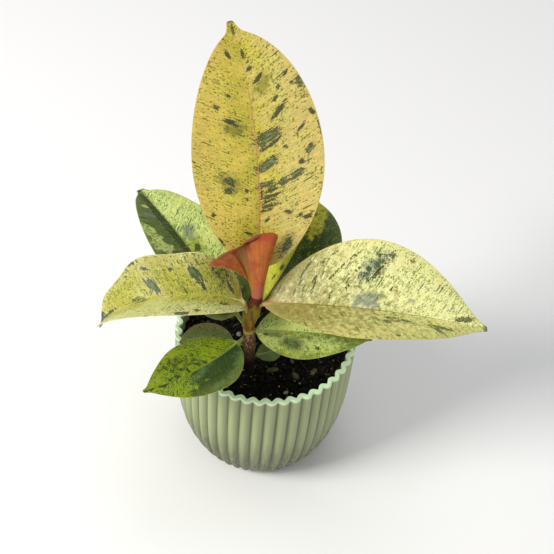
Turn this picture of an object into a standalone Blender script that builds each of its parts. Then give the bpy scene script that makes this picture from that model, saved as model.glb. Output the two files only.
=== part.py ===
"""A young variegated rubber plant in a small fluted pot.

The pot is a thin moulded shell, filled with potting mix. One short stem stands in the mix a little in
front of the middle. It carries nine leaves on short stalks and, on its top, a young leaf that is still
half rolled. Loose chips of bark and grains of perlite lie on the mix.

Sizes below are in millimetres and degrees. Headings are compass angles seen from above: 0 is +X, 90 is +Y.
"""

import math
import random

import bmesh
import bpy
import numpy as np
from mathutils import Vector

MM = 0.001
GAP = 0.3  # clearance between pieces that touch
SHARP_ANGLE = 40.0  # an edge that turns more than this stays crisp

# Driving dimensions of the pot
POT_HEIGHT = 60.0
RIM_RADIUS = 33.4
BASE_RADIUS = 23.2
BELLY = 4.0  # how early the wall turns upright: 1 is a plain cone
WALL = 2.2
FLOOR = 2.6
FLUTES = 46
FLUTE_DEPTH = 1.5
FOOT_ROUND = 1.6
RIM_ROUND = 0.8
POINTS_PER_FLUTE = 3
OUTSIDE_HEIGHTS = (0.0, 0.5, FOOT_ROUND, 6.0, 12.0, 19.0, 28.0, 40.0, POT_HEIGHT - RIM_ROUND)
INSIDE_HEIGHTS = (POT_HEIGHT - RIM_ROUND, 48.0, 32.0, 20.0, 12.0, 6.0, FLOOR)

# Driving dimensions of the potting mix
SOIL_LEVEL = 52.0
SOIL_MOUND = 1.6
MOUND_REACH = 9.0
SOIL_RIPPLE = 0.35
RIPPLE_ACROSS = 4.1  # the ripples' widths over 2 pi
RIPPLE_ALONG = 5.3
RIPPLE_SLANT = 9.0
RIPPLE_START = 0.6
SOIL_INSET = 0.45  # the mix has fewer points round a flute than the wall
SOIL_POINTS_PER_FLUTE = 2
SOIL_HEIGHTS = (FLOOR + GAP, 8.0, 16.0, 26.0, 38.0)
SOIL_TOP_RINGS = (1.0, 0.84, 0.64, 0.42, 0.2)  # shares of the radius
SOCKET_DEPTH = 14.0

# The stem's centre line as (height, x, y, radius). It bends a little and thickens at its nodes.
STEM_LINE = (
    (SOIL_LEVEL - SOCKET_DEPTH + GAP, -4.6, -15.5, 1.35),
    (53.0, -4.6, -15.5, 1.4),
    (69.0, -5.6, -15.0, 1.5),
    (77.0, -6.0, -14.7, 1.7),
    (85.0, -5.0, -13.9, 2.1),
    (90.0, -4.1, -13.3, 1.9),
    (93.0, -3.7, -13.0, 1.7),
)
NODE_SWELL = 0.25
NODE_SPREAD = 1.3
STEM_SIDES = 10
STEM_ROW = 1.8

# A leaf's half thickness, from its round stalk to the edge of its blade
STALK_RADIUS = 0.9
STALK_CLEARANCE = 0.5  # from the stem, which leans a little
STALK_CORNER = 0.22  # half thickness of the stalk's two side edges, as a share of its radius
STALK_RUN_OUT = 1 / 3  # share of the blade over which the stalk sinks into the midrib
BLADE_MIDDLE = 0.45
BLADE_EDGE = 0.2

# A blade's outline: an oval that ends in a short narrow tip, as shares of its length and half width
OVAL_END = 0.955
TIP_START = 0.8
TIP_TAPER = 0.09
TIP_WIDTH = 0.085
TIP_BLUNTNESS = 0.8
TIP_HALF_WIDTH = 0.4  # in mm, at the very end

LEAF_ROWS = 16
STALK_ROWS = 3
BLADE_POINTS = 5  # across one face
SPINE_STEPS = 48

# Each leaf: where it leaves the stem, its stalk, and its blade. Pairs run from base to tip, except fold,
# which is the angle of the left and right half above the blade's own plane. fullness shapes the outline:
# a smaller first number is blunter, and a second number under 1 moves the widest place towards the tip.
LEAVES = {
    "upright_leaf": dict(
        height=91.5, stalk=11.0, rise=58, heading=(94, 122), climb=(70, 38),
        length=81.0, half_width=21.6, roll=(-3, -3), fold=(9, 14), fullness=(0.55, 0.99),
    ),
    "right_leaf": dict(
        height=89.0, stalk=4.0, rise=25, heading=(-10, 0), climb=(19, -12),
        length=74.5, half_width=23.5, roll=(8, 8), fold=(30, 35), fullness=(0.80, 0.94),
    ),
    "left_leaf": dict(
        height=88.5, stalk=4.0, rise=36, heading=(200, 170), climb=(38, -69),
        length=59.0, half_width=14.5, roll=(-11, -3), fold=(32, 31), fullness=(0.56, 0.88),
    ),
    "back_left_leaf": dict(
        height=77.0, stalk=7.0, rise=35, heading=(146, 138), climb=(45, 13),
        length=54.5, half_width=15.4, roll=(-13, 17), fold=(15, 16), fullness=(0.43, 0.91),
    ),
    "back_right_leaf": dict(
        height=84.5, stalk=6.0, rise=24, heading=(44, 86), climb=(44, 18),
        length=41.5, half_width=15.5, roll=(-10, -7), fold=(-20, -4), fullness=(0.62, 1.05),
    ),
    "front_left_leaf": dict(
        height=73.0, stalk=6.5, rise=23, heading=(232, 210), climb=(-3, 6),
        length=38.0, half_width=13.9, roll=(-1, 16), fold=(8, -2), fullness=(0.67, 0.94),
    ),
    "low_left_leaf": dict(
        height=68.5, stalk=6.0, rise=4, heading=(170, 205), climb=(5, -10),
        length=19.0, half_width=7.0, roll=(10, 2), fold=(8, 6), fullness=(0.62, 1.02),
    ),
    "low_right_leaf": dict(
        height=77.0, stalk=2.6, rise=0, heading=(-3, -8), climb=(10, 6),
        length=40.0, half_width=14.6, roll=(3, -8), fold=(10, 12), fullness=(0.65, 0.97),
    ),
    "small_leaf": dict(
        height=63.0, stalk=2.6, rise=0, heading=(15, 35), climb=(5, -5),
        length=9.5, half_width=4.4, roll=(0, 0), fold=(8, 8), fullness=(0.60, 0.98),
    ),
}

# The young leaf is a sheet through four ribs that fan out of the stem's tip. It is folded along the third.
# bow lengthens or shortens the sheet between a rib and the next, which curves its rim.
YOUNG_RIBS = (
    dict(heading=52, climb=(86, 52), sweep=14, length=23.0, bow=0.3),
    dict(heading=118, climb=(88, 50), sweep=-4, length=20.6, bow=-0.4),
    dict(heading=192, climb=(80, 56), sweep=-6, length=21.5, bow=-1.2),
    dict(heading=215, climb=(80, 12), sweep=-18, length=27.0, bow=0.0),
)
YOUNG_ROWS = 9
YOUNG_BETWEEN = 3  # points from one rib to the next
YOUNG_THICKNESS = 0.6

# A loose bit on the mix: its bumps, and how far down its flat underside is, as shares of its half size
BIT_BUMPS = 0.12
BIT_UNDERSIDE = 0.7

# Loose bits on the mix: x, y, length, width, height, turn
BARK_CHIPS = (
    (3.5, -13.5, 4.6, 2.0, 1.2, 20),
    (12.0, -14.5, 3.6, 2.2, 1.4, -35),
    (18.5, -12.0, 3.8, 2.0, 1.3, 60),
    (-14.0, 12.0, 5.0, 2.4, 1.4, 110),
    (14.0, 13.0, 4.2, 2.2, 1.2, 150),
)
PERLITE = (
    (-10.0, 2.5, 2.2, 1.9, 1.6, 0),
    (9.0, -22.5, 1.9, 1.6, 1.4, 30),
    (6.0, 19.0, 2.3, 2.0, 1.6, 75),
)


def new_material(name, colour, roughness):
    material = bpy.data.materials.new(name)
    material.use_nodes = True
    shader = material.node_tree.nodes["Principled BSDF"]
    shader.inputs["Base Color"].default_value = (*colour, 1.0)
    shader.inputs["Roughness"].default_value = roughness
    shader.inputs["Metallic"].default_value = 0.0
    return material


def add_object(name, shape, material, smooth=True):
    """Turns a bmesh into a named object whose faces point out."""
    bmesh.ops.recalc_face_normals(shape, faces=shape.faces)
    if shape.calc_volume(signed=True) < 0:
        bmesh.ops.reverse_faces(shape, faces=shape.faces)
    mesh = bpy.data.meshes.new(name)
    shape.to_mesh(mesh)
    shape.free()
    if smooth:
        mesh.shade_smooth()
        mesh.set_sharp_from_angle(angle=math.radians(SHARP_ANGLE))
    mesh.materials.append(material)
    obj = bpy.data.objects.new(name, mesh)
    bpy.context.scene.collection.objects.link(obj)
    return obj


def loft(name, loops, material, smooth=True):
    """A closed body through a row of closed loops, with a cap on each end. All have as many points."""
    shape = bmesh.new()
    rows = [[shape.verts.new(point * MM) for point in loop] for loop in loops]
    for lower, upper in zip(rows, rows[1:]):
        for i in range(len(lower)):
            j = (i + 1) % len(lower)
            shape.faces.new((lower[i], lower[j], upper[j], upper[i]))
    shape.faces.new(rows[0])
    shape.faces.new(rows[-1])
    return add_object(name, shape, material, smooth)


def between(pair, t):
    return pair[0] + (pair[1] - pair[0]) * t


def direction(heading, climb):
    """The unit vector that points along a compass heading and climbs above level, in degrees."""
    across = math.cos(math.radians(climb))
    return Vector((
        across * math.cos(math.radians(heading)),
        across * math.sin(math.radians(heading)),
        math.sin(math.radians(climb)),
    ))


# Pot ----------------------------------------------------------------------------------------------------


def wall_radius(z):
    """Outer radius over the flutes at height z."""
    rise = 1 - (1 - z / POT_HEIGHT) ** BELLY
    radius = BASE_RADIUS + (RIM_RADIUS - BASE_RADIUS) * rise
    if z < FOOT_ROUND:
        radius -= FOOT_ROUND - math.sqrt(FOOT_ROUND**2 - (FOOT_ROUND - z) ** 2)
    return radius


def fluted_ring(radius, z, points_per_flute, depth=FLUTE_DEPTH):
    """A ring of rounded flutes with narrow valleys between them."""
    count = FLUTES * points_per_flute
    ring = []
    for i in range(count):
        turn = 2 * math.pi * i / count
        valley = 1 - abs(math.sin(FLUTES * turn / 2))
        r = radius - depth * valley
        ring.append(Vector((r * math.cos(turn), r * math.sin(turn), z)))
    return ring


def build_pot(material):
    """One wall of even thickness, with the flutes on both its faces and a rounded rim, and a flat floor."""
    rings = [fluted_ring(wall_radius(z), z, POINTS_PER_FLUTE) for z in OUTSIDE_HEIGHTS]
    rings.append(fluted_ring(RIM_RADIUS - RIM_ROUND, POT_HEIGHT, POINTS_PER_FLUTE))
    rings.append(fluted_ring(RIM_RADIUS - WALL + RIM_ROUND, POT_HEIGHT, POINTS_PER_FLUTE))
    rings += [fluted_ring(wall_radius(z) - WALL, z, POINTS_PER_FLUTE) for z in INSIDE_HEIGHTS]
    return loft("pot", rings, material)


# Potting mix --------------------------------------------------------------------------------------------


def stem_centre(z):
    heights, xs, ys, _ = zip(*STEM_LINE)
    return Vector((float(np.interp(z, heights, xs)), float(np.interp(z, heights, ys)), z))


def soil_height(x, y):
    """The top of the mix: level, with low ripples, and heaped a little round the stem."""
    stem = stem_centre(SOIL_LEVEL)
    away = math.hypot(x - stem.x, y - stem.y)
    mound = SOIL_MOUND * math.exp(-((away / MOUND_REACH) ** 2))
    across = math.sin(x / RIPPLE_ACROSS + RIPPLE_START)
    along = math.sin(y / RIPPLE_ALONG - x / RIPPLE_SLANT)
    return SOIL_LEVEL + mound + SOIL_RIPPLE * (across + along)


def build_soil(material):
    """The mix fills the flutes of the pot, and a blind socket in it holds the foot of the stem."""
    inset = WALL + GAP + SOIL_INSET
    rings = [fluted_ring(wall_radius(z) - inset, z, SOIL_POINTS_PER_FLUTE) for z in SOIL_HEIGHTS]
    edge = wall_radius(SOIL_LEVEL) - inset
    for share in SOIL_TOP_RINGS:
        ring = fluted_ring(edge * share, 0.0, SOIL_POINTS_PER_FLUTE, FLUTE_DEPTH * share**4)
        rings.append([Vector((p.x, p.y, soil_height(p.x, p.y))) for p in ring])
    soil = loft("soil", rings, material)

    # As far above the level as below it, so that it cuts right through the mound.
    foot = stem_centre(SOIL_LEVEL)
    foot_radius = STEM_LINE[1][3]
    bpy.ops.mesh.primitive_cylinder_add(
        vertices=STEM_SIDES,
        radius=(foot_radius + GAP) * MM / math.cos(math.pi / STEM_SIDES),
        depth=2 * SOCKET_DEPTH * MM,
        location=foot * MM,
    )
    socket = bpy.context.object
    socket.name = "socket_cutter"
    socket.hide_render = True
    socket.display_type = "WIRE"
    cut = soil.modifiers.new("socket", "BOOLEAN")
    cut.operation = "DIFFERENCE"
    cut.solver = "EXACT"
    cut.object = socket
    return soil


# Stem ---------------------------------------------------------------------------------------------------


def stem_radius(z):
    """A thin woody stem with a swelling at the foot of each leaf."""
    heights, _, _, radii = zip(*STEM_LINE)
    swell = 0.0
    for leaf in LEAVES.values():
        swell = max(swell, math.exp(-(((z - leaf["height"]) / NODE_SPREAD) ** 2)))
    return float(np.interp(z, heights, radii)) + NODE_SWELL * swell


def build_stem(material):
    bottom, top = STEM_LINE[0][0], STEM_LINE[-1][0]
    rows = round((top - bottom) / STEM_ROW)
    loops = []
    for row in range(rows + 1):
        z = between((bottom, top), row / rows)
        centre = stem_centre(z)
        loop = []
        for side in range(STEM_SIDES):
            turn = 2 * math.pi * side / STEM_SIDES
            loop.append(centre + stem_radius(z) * Vector((math.cos(turn), math.sin(turn), 0)))
        loops.append(loop)
    return loft("stem", loops, material)


# Leaves -------------------------------------------------------------------------------------------------


def blade_width(t, fullness):
    """Half width at share t of the blade's length, as a share of the widest."""
    blunt, forward = fullness
    oval = math.sin(math.pi * (t / OVAL_END) ** forward) ** blunt if t < OVAL_END else 0.0
    tip = TIP_WIDTH * min((1 - t) / TIP_TAPER, 1.0) ** TIP_BLUNTNESS if t > TIP_START else 0.0
    return max(oval, tip)


def blade_frames(leaf, base):
    """(share, centre, side, face) at each step along the midrib. side points to the leaf's right."""
    frames = []
    centre = base
    for step in range(SPINE_STEPS + 1):
        t = step / SPINE_STEPS
        heading, climb = between(leaf["heading"], t), between(leaf["climb"], t)
        roll = math.radians(between(leaf["roll"], t))
        up = direction(heading, climb + 90)
        level = direction(heading - 90, 0)
        side = math.cos(roll) * level - math.sin(roll) * up
        face = math.cos(roll) * up + math.sin(roll) * level
        frames.append((t, centre, side, face))
        halfway = t + 0.5 / SPINE_STEPS
        along = direction(between(leaf["heading"], halfway), between(leaf["climb"], halfway))
        centre = centre + along * leaf["length"] / SPINE_STEPS
    return frames


def build_leaf(name, leaf, material):
    """One closed body: a round stalk that runs into the midrib of a thin folded blade."""
    stem = stem_centre(leaf["height"])
    out = direction(leaf["heading"][0], leaf["rise"])
    side = direction(leaf["heading"][0] - 90, 0)
    start = (stem_radius(leaf["height"]) + STALK_CLEARANCE) / math.cos(math.radians(leaf["rise"]))
    base = stem + out * leaf["stalk"]
    frames = blade_frames(leaf, base)
    across = [2 * i / (BLADE_POINTS - 1) - 1 for i in range(BLADE_POINTS)]
    loops = []

    # The stalk: its first loop stands upright, against the stem.
    for row in range(STALK_ROWS):
        t = row / STALK_ROWS
        centre = stem + out * between((start, leaf["stalk"]), t)
        face = (Vector((0, 0, 1)) * (1 - t) + frames[0][3] * t).normalized()
        loop = []
        for sign, run in ((1, across), (-1, reversed(across))):
            for u in run:
                rise = max(math.sqrt(1 - u * u), STALK_CORNER)
                loop.append(centre + STALK_RADIUS * (u * side + sign * rise * face))
        loops.append(loop)

    # The blade: thick along the midrib and thin at the edge.
    for row in range(1, LEAF_ROWS + 1):
        t, centre, side, face = frames[row * SPINE_STEPS // LEAF_ROWS]
        width = max(leaf["half_width"] * blade_width(t, leaf["fullness"]), TIP_HALF_WIDTH)
        middle = between((STALK_RADIUS, BLADE_MIDDLE), min(t / STALK_RUN_OUT, 1.0))
        loop = []
        for sign, run in ((1, across), (-1, reversed(across))):
            for u in run:
                fold = math.radians(leaf["fold"][u > 0]) if u else 0.0
                outward = math.copysign(1, u) * side if u else Vector()
                over = math.cos(fold) * outward + math.sin(fold) * face
                facing = math.cos(fold) * face - math.sin(fold) * outward
                half = between((middle, BLADE_EDGE), abs(u))
                loop.append(centre + abs(u) * width * over + sign * half * facing)
        loops.append(loop)
    return loft(name, loops, material)


def rib_points(rib):
    """Points along one rib of the young leaf, from the tip of the stem to the rim."""
    foot = stem_centre(STEM_LINE[-1][0] + GAP + YOUNG_THICKNESS / 2)
    point = foot + direction(rib["heading"], 0) * (STEM_LINE[-1][3] - YOUNG_THICKNESS / 2)
    points = [point]
    for row in range(YOUNG_ROWS - 1):
        t = (row + 0.5) / (YOUNG_ROWS - 1)
        along = direction(rib["heading"] + rib["sweep"] * t, between(rib["climb"], t))
        point = point + along * rib["length"] / (YOUNG_ROWS - 1)
        points.append(point)
    return points


def build_young_leaf(material):
    """A half rolled sheet, thickened to both sides of its middle surface."""
    ribs = []
    for first, second in zip(YOUNG_RIBS, YOUNG_RIBS[1:]):
        for i in range(YOUNG_BETWEEN):
            share = i / YOUNG_BETWEEN
            rib = {
                "heading": between((first["heading"], second["heading"]), share),
                "sweep": between((first["sweep"], second["sweep"]), share),
                "climb": [between(pair, share) for pair in zip(first["climb"], second["climb"])],
                "length": between((first["length"], second["length"]), share)
                + first["bow"] * math.sin(math.pi * share),
            }
            ribs.append(rib)
    ribs.append(YOUNG_RIBS[-1])
    sheet = np.array([[tuple(p) for p in rib_points(rib)] for rib in ribs])
    over = np.gradient(sheet, axis=0)
    along = np.gradient(sheet, axis=1)
    facing = np.cross(over, along)
    facing /= np.linalg.norm(facing, axis=2, keepdims=True)
    front = sheet + facing * YOUNG_THICKNESS / 2
    back = sheet - facing * YOUNG_THICKNESS / 2
    loops = []
    for row in range(YOUNG_ROWS):
        loops.append([Vector(p) for p in front[:, row]] + [Vector(p) for p in back[::-1, row]])
    return loft("new_leaf", loops, material)


# Loose bits ---------------------------------------------------------------------------------------------


def build_bit(name, place, material, seed):
    """A rough flat-bottomed lump that lies on the highest point of the mix under it."""
    x, y, length, width, height, turn = place
    rng = random.Random(seed)
    reach = (-length / 2, 0, length / 2)
    seat = max(soil_height(x + dx, y + dy) for dx in reach for dy in reach) + GAP
    shape = bmesh.new()
    bmesh.ops.create_icosphere(shape, subdivisions=2, radius=1.0)
    cos, sin = math.cos(math.radians(turn)), math.sin(math.radians(turn))
    for vert in shape.verts:
        bulge = 1 + rng.uniform(-BIT_BUMPS, BIT_BUMPS)
        along = vert.co.x * length / 2 * bulge
        over = vert.co.y * width / 2 * bulge
        up = (max(vert.co.z, -BIT_UNDERSIDE) + BIT_UNDERSIDE) * height / 2
        vert.co = Vector((x + cos * along - sin * over, y + sin * along + cos * over, seat + up)) * MM
    return add_object(name, shape, material, smooth=False)


# The whole plant ----------------------------------------------------------------------------------------

for old in list(bpy.data.objects):
    bpy.data.objects.remove(old, do_unlink=True)

build_pot(new_material("sage_plastic", (0.42, 0.50, 0.31), 0.55))
build_soil(new_material("potting_mix", (0.018, 0.013, 0.010), 0.95))
build_stem(new_material("young_bark", (0.12, 0.075, 0.03), 0.7))

LEAF_COLOURS = {
    "upright_leaf": (0.56, 0.46, 0.13),
    "right_leaf": (0.60, 0.60, 0.25),
    "left_leaf": (0.55, 0.58, 0.18),
    "back_left_leaf": (0.20, 0.30, 0.10),
    "back_right_leaf": (0.08, 0.13, 0.03),
    "front_left_leaf": (0.16, 0.24, 0.04),
    "low_left_leaf": (0.08, 0.13, 0.05),
    "low_right_leaf": (0.30, 0.40, 0.10),
    "small_leaf": (0.10, 0.17, 0.03),
}
for leaf_name, leaf_sizes in LEAVES.items():
    leaf_skin = new_material(leaf_name + "_skin", LEAF_COLOURS[leaf_name], 0.4)
    build_leaf(leaf_name, leaf_sizes, leaf_skin)

build_young_leaf(new_material("coppery_leaf", (0.42, 0.10, 0.03), 0.35))

bark = new_material("bark", (0.10, 0.055, 0.03), 0.9)
for number, spot in enumerate(BARK_CHIPS, start=1):
    build_bit(f"bark_chip_{number}", spot, bark, seed=number)
white_grain = new_material("perlite", (0.75, 0.74, 0.70), 0.9)
for number, spot in enumerate(PERLITE, start=1):
    build_bit(f"perlite_{number}", spot, white_grain, seed=20 + number)
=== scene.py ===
import math

import bpy
import numpy as np
from mathutils import Matrix, Vector, noise


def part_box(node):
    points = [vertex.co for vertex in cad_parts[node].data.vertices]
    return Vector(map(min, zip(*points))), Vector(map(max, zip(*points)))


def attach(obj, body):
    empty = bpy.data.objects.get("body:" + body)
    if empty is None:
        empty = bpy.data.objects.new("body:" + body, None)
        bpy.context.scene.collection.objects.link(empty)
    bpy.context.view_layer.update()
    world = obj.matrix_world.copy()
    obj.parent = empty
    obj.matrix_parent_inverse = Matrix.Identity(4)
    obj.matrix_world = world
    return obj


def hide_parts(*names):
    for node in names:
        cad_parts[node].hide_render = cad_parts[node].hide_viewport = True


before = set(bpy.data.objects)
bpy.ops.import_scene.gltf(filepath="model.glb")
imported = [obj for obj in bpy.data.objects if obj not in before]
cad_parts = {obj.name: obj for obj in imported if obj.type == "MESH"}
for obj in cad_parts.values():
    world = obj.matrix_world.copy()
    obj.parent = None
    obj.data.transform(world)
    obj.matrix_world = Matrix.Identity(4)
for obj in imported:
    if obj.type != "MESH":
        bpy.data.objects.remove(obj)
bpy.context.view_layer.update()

# Pot ------------------------------------------------------
# A starter pot moulded in matt sage-green plastic. Its one thin wall is pressed into rounded flutes, which
# give the rim its scallops. The plain profile is turned first, and the flutes are then pressed into it.

MM = 0.001
POT_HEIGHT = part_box("pot")[1].z / MM
RIM_RADIUS = -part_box("pot")[0].y / MM
BASE_RADIUS = 23.2
BELLY = 4.0
WALL = 1.35
FLOOR = 2.6
FLUTES = 46
FLUTE_DEPTH = 1.35
FLUTE_FADE = 8  # how suddenly the flutes run out under the foot
INNER_DEPTH = 1.15  # how many times as deep the inside of the wall waves as the outside
VALLEY_ROUND = 0.14
INNER_ROUND = 0.06
FOOT_RINGS = (0.0, 8.0, 14.0, 17.0, 19.5)
FLOOR_RINGS = (18.0, 12.0, 0.0)
FLOOR_EDGE = 1.0  # how far inside the wall's foot the floor ends
FOOT_ROUND = 1.6
RIM_ROUND = 0.3
POINTS_PER_FLUTE = 12
WALL_STEPS = 24
STEP_GROWTH = 1.3  # above 1, the wall's steps lie closer together near its foot
ARC_STEPS = 5
POLE_GAP = 0.01  # points of a turned piece nearer than this are one
SHADE_SHARPNESS = 3.4  # how narrow the line of painted shade in each groove is
LIP = (1.8, 0.5)  # mm under the rim from where to where the plastic turns paler, partly a painted highlight on the rim's top
FOOT_SHADE = (40.0, 8.0)  # heights from where to where the wall gets darker downwards, as painted shade


def display(red, green, blue):
    """A colour as a screen shows it, 0 to 255, turned into the light that a shader works with."""
    shares = [value / 255 for value in (red, green, blue)]
    return [s / 12.92 if s < 0.04045 else ((s + 0.055) / 1.055) ** 2.4 for s in shares] + [1.0]


SAGE = display(158, 168, 120)
MINT_EDGE_AND_HIGHLIGHT = display(214, 240, 198)
PAINTED_SHADE = display(78, 82, 52)


def wall_radius(z):
    """The pot's outer radius over the flutes at height z, in mm."""
    rise = 1 - (1 - min(z / POT_HEIGHT, 1.0)) ** BELLY
    return BASE_RADIUS + (RIM_RADIUS - BASE_RADIUS) * rise


def pot_profile():
    """The wall's section as (radius, height): the foot, the outside, the rim, the inside and the floor."""
    arc = [math.pi / 2 * i / ARC_STEPS for i in range(ARC_STEPS + 1)]
    foot = [(r, 0.0) for r in FOOT_RINGS]
    heel = BASE_RADIUS - FOOT_ROUND
    foot += [(heel + FOOT_ROUND * math.sin(a), FOOT_ROUND * (1 - math.cos(a))) for a in arc]
    top = POT_HEIGHT - RIM_ROUND
    shares = [(i / WALL_STEPS) ** STEP_GROWTH for i in range(1, WALL_STEPS)]
    heights = [FOOT_ROUND + (top - FOOT_ROUND) * share for share in shares]
    outside = [(wall_radius(z), z) for z in heights]
    rim = [(RIM_RADIUS - RIM_ROUND * (1 - math.cos(a)), top + RIM_ROUND * math.sin(a)) for a in arc]
    inner_rim = RIM_RADIUS - WALL + RIM_ROUND
    rim += [(inner_rim - RIM_ROUND * math.sin(a), top + RIM_ROUND * math.cos(a)) for a in arc]
    inside = [(wall_radius(z) - WALL, z) for z in reversed(heights) if z > FLOOR + FOOT_ROUND]
    floor = [(r, FLOOR) for r in (BASE_RADIUS - WALL - FLOOR_EDGE, *FLOOR_RINGS)]
    return foot + outside + rim + inside + floor


def started(name, add, **sizes):
    """A new primitive under the piece's name, with nothing else selected."""
    bpy.ops.object.select_all(action="DESELECT")
    add(**sizes)
    piece = bpy.context.object
    piece.name = name
    return piece


def turned(name, profile, steps):
    """Turns a section of (radius, height) points, in mm, round the Z axis into a closed body."""
    body = started(name, bpy.ops.mesh.primitive_circle_add, vertices=len(profile), radius=MM)
    for vert, (radius, height) in zip(body.data.vertices, profile):
        vert.co = (radius * MM, 0.0, height * MM)
    bpy.ops.object.mode_set(mode="EDIT")
    bpy.ops.mesh.select_all(action="SELECT")
    bpy.ops.mesh.spin(steps=steps, angle=2 * math.pi, center=(0, 0, 0), axis=(0, 0, 1))
    bpy.ops.mesh.select_all(action="SELECT")
    bpy.ops.mesh.remove_doubles(threshold=POLE_GAP * MM)
    bpy.ops.mesh.delete_loose(use_verts=True, use_edges=True, use_faces=False)
    bpy.ops.mesh.select_all(action="SELECT")
    bpy.ops.mesh.normals_make_consistent(inside=False)
    bpy.ops.object.mode_set(mode="OBJECT")
    bpy.ops.object.shade_smooth()
    return body


def vertex_places(piece):
    """The piece's vertices as an array, in mm."""
    flat = np.empty(len(piece.data.vertices) * 3)
    piece.data.vertices.foreach_get("co", flat)
    return flat.reshape(-1, 3) / MM


def move_vertices(piece, places):
    piece.data.vertices.foreach_set("co", (places * MM).ravel())
    piece.data.update()


def fluted_radius(x, y, full_from, inside):
    """How far from the axis a point lies once the flutes are pressed in. They fade inside full_from.

    The wall's outside is a row of round ridges. Its inside is the same row seen from behind.
    """
    radius = np.hypot(x, y)
    half_turn = FLUTES * np.arctan2(y, x) / 2
    ridge = 1 - np.sqrt(np.sin(half_turn) ** 2 + VALLEY_ROUND**2)
    bulge = INNER_DEPTH * (np.sqrt(np.cos(half_turn) ** 2 + INNER_ROUND**2) - INNER_ROUND)
    pressed = np.where(inside, bulge, ridge)
    depth = FLUTE_DEPTH * (radius / RIM_RADIUS) ** 0.5 * np.clip(radius / full_from, 0, 1) ** FLUTE_FADE
    return np.maximum(radius - depth * np.maximum(pressed, 0), 0)


def press_flutes(piece, full_from, skin):
    """Presses the flutes into a turned piece. Points over skin mm under the outer face are the inside."""
    places = vertex_places(piece)
    x, y, z = places.T
    outer = np.array([wall_radius(height) for height in z])
    inside = np.hypot(x, y) < outer - skin
    share = fluted_radius(x, y, full_from, inside) / np.maximum(np.hypot(x, y), 1e-6)
    places[:, :2] *= share[:, None]
    move_vertices(piece, places)


def put(kind, inputs, tree=None, **settings):
    """Adds a node, beside those that feed it where no tree is given.

    inputs maps a socket's name or number to a value, or to the output that feeds it.
    """
    feeding = [value for value in inputs.values() if isinstance(value, bpy.types.NodeSocket)]
    tree = tree or feeding[0].id_data
    node = tree.nodes.new("ShaderNode" + kind)
    for name, value in settings.items():
        setattr(node, name, value)
    for socket, value in inputs.items():
        if isinstance(value, bpy.types.NodeSocket):
            tree.links.new(value, node.inputs[socket])
        else:
            node.inputs[socket].default_value = value
    return node


def maths(operation, first, second=0.0):
    return put("Math", {0: first, 1: second}, operation=operation).outputs[0]


def times(first, second):
    return maths("MULTIPLY", first, second)


def plus(first, second):
    return maths("ADD", first, second)


def linear(value, scale, offset):
    return put("Math", {0: value, 1: scale, 2: offset}, operation="MULTIPLY_ADD").outputs[0]


def stretched(place, by):
    return put("VectorMath", {0: place, 1: by}, operation="MULTIPLY").outputs[0]


def apart(vector):
    """A vector's three parts."""
    return put("SeparateXYZ", {0: vector}).outputs


def step(value, low, high):
    """0 below low, 1 above high, and an even curve between. high may lie under low."""
    sockets = {"Value": value, "From Min": low, "From Max": high}
    return put("MapRange", sockets, interpolation_type="SMOOTHSTEP").outputs["Result"]


def blended(share, first, second):
    """The first colour with a share of the second laid over it."""
    return put("Mix", {0: share, 6: first, 7: second}, data_type="RGBA").outputs[2]


def laid_over(colour, mask, strength, tint):
    """The colour with a tint over it inside the mask, at a strength from 0 to 1."""
    return blended(times(mask, strength), colour, tint)


def clouds(place, per_mm, detail=2.0, rough=0.5):
    """Soft noise with about per_mm features to the millimetre, where place is in mm."""
    sockets = {"Vector": place, "Scale": per_mm, "Detail": detail, "Roughness": rough}
    return put("TexNoise", sockets).outputs[0]


def place_in_mm(tree):
    """The point on the piece, in millimetres."""
    point = put("TexCoord", {}, tree).outputs["Object"]
    return put("VectorMath", {0: point, "Scale": 1 / MM}, operation="SCALE").outputs[0]


def new_material(name, **settings):
    """A material, its node tree and its shader. Even settings sit on the shader's own sockets."""
    material = bpy.data.materials.new(name)
    material.use_nodes = True
    shader = material.node_tree.nodes["Principled BSDF"]
    for setting, value in settings.items():
        shader.inputs[setting.replace("_", " ").title().replace("Ior", "IOR")].default_value = value
    return material, material.node_tree, shader


def dress(shader, relief, depth, colour, roughness=None):
    """Feeds the shader. The relief is depth mm between its lowest and its highest points."""
    bump = put("Bump", {"Strength": 1.0, "Distance": depth * MM, "Height": relief})
    feeds = {"Base Color": colour, "Roughness": roughness, "Normal": bump.outputs["Normal"]}
    for socket, output in feeds.items():
        if output is not None:
            shader.id_data.links.new(output, shader.inputs[socket])


def attribute(tree, name, output):
    """Reads a value kept on the piece's vertices: output 1 is a vector and 2 a number."""
    return put("Attribute", {}, tree, attribute_name=name).outputs[output]


def keep(piece, name, values):
    """Keeps a number or a vector for each vertex on the piece, for its material to read."""
    kind, field = ("FLOAT", "value") if values.ndim == 1 else ("FLOAT_VECTOR", "vector")
    stored = piece.data.attributes.new(name, kind, "POINT")
    stored.data.foreach_set(field, values.astype(np.float32).ravel())


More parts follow.
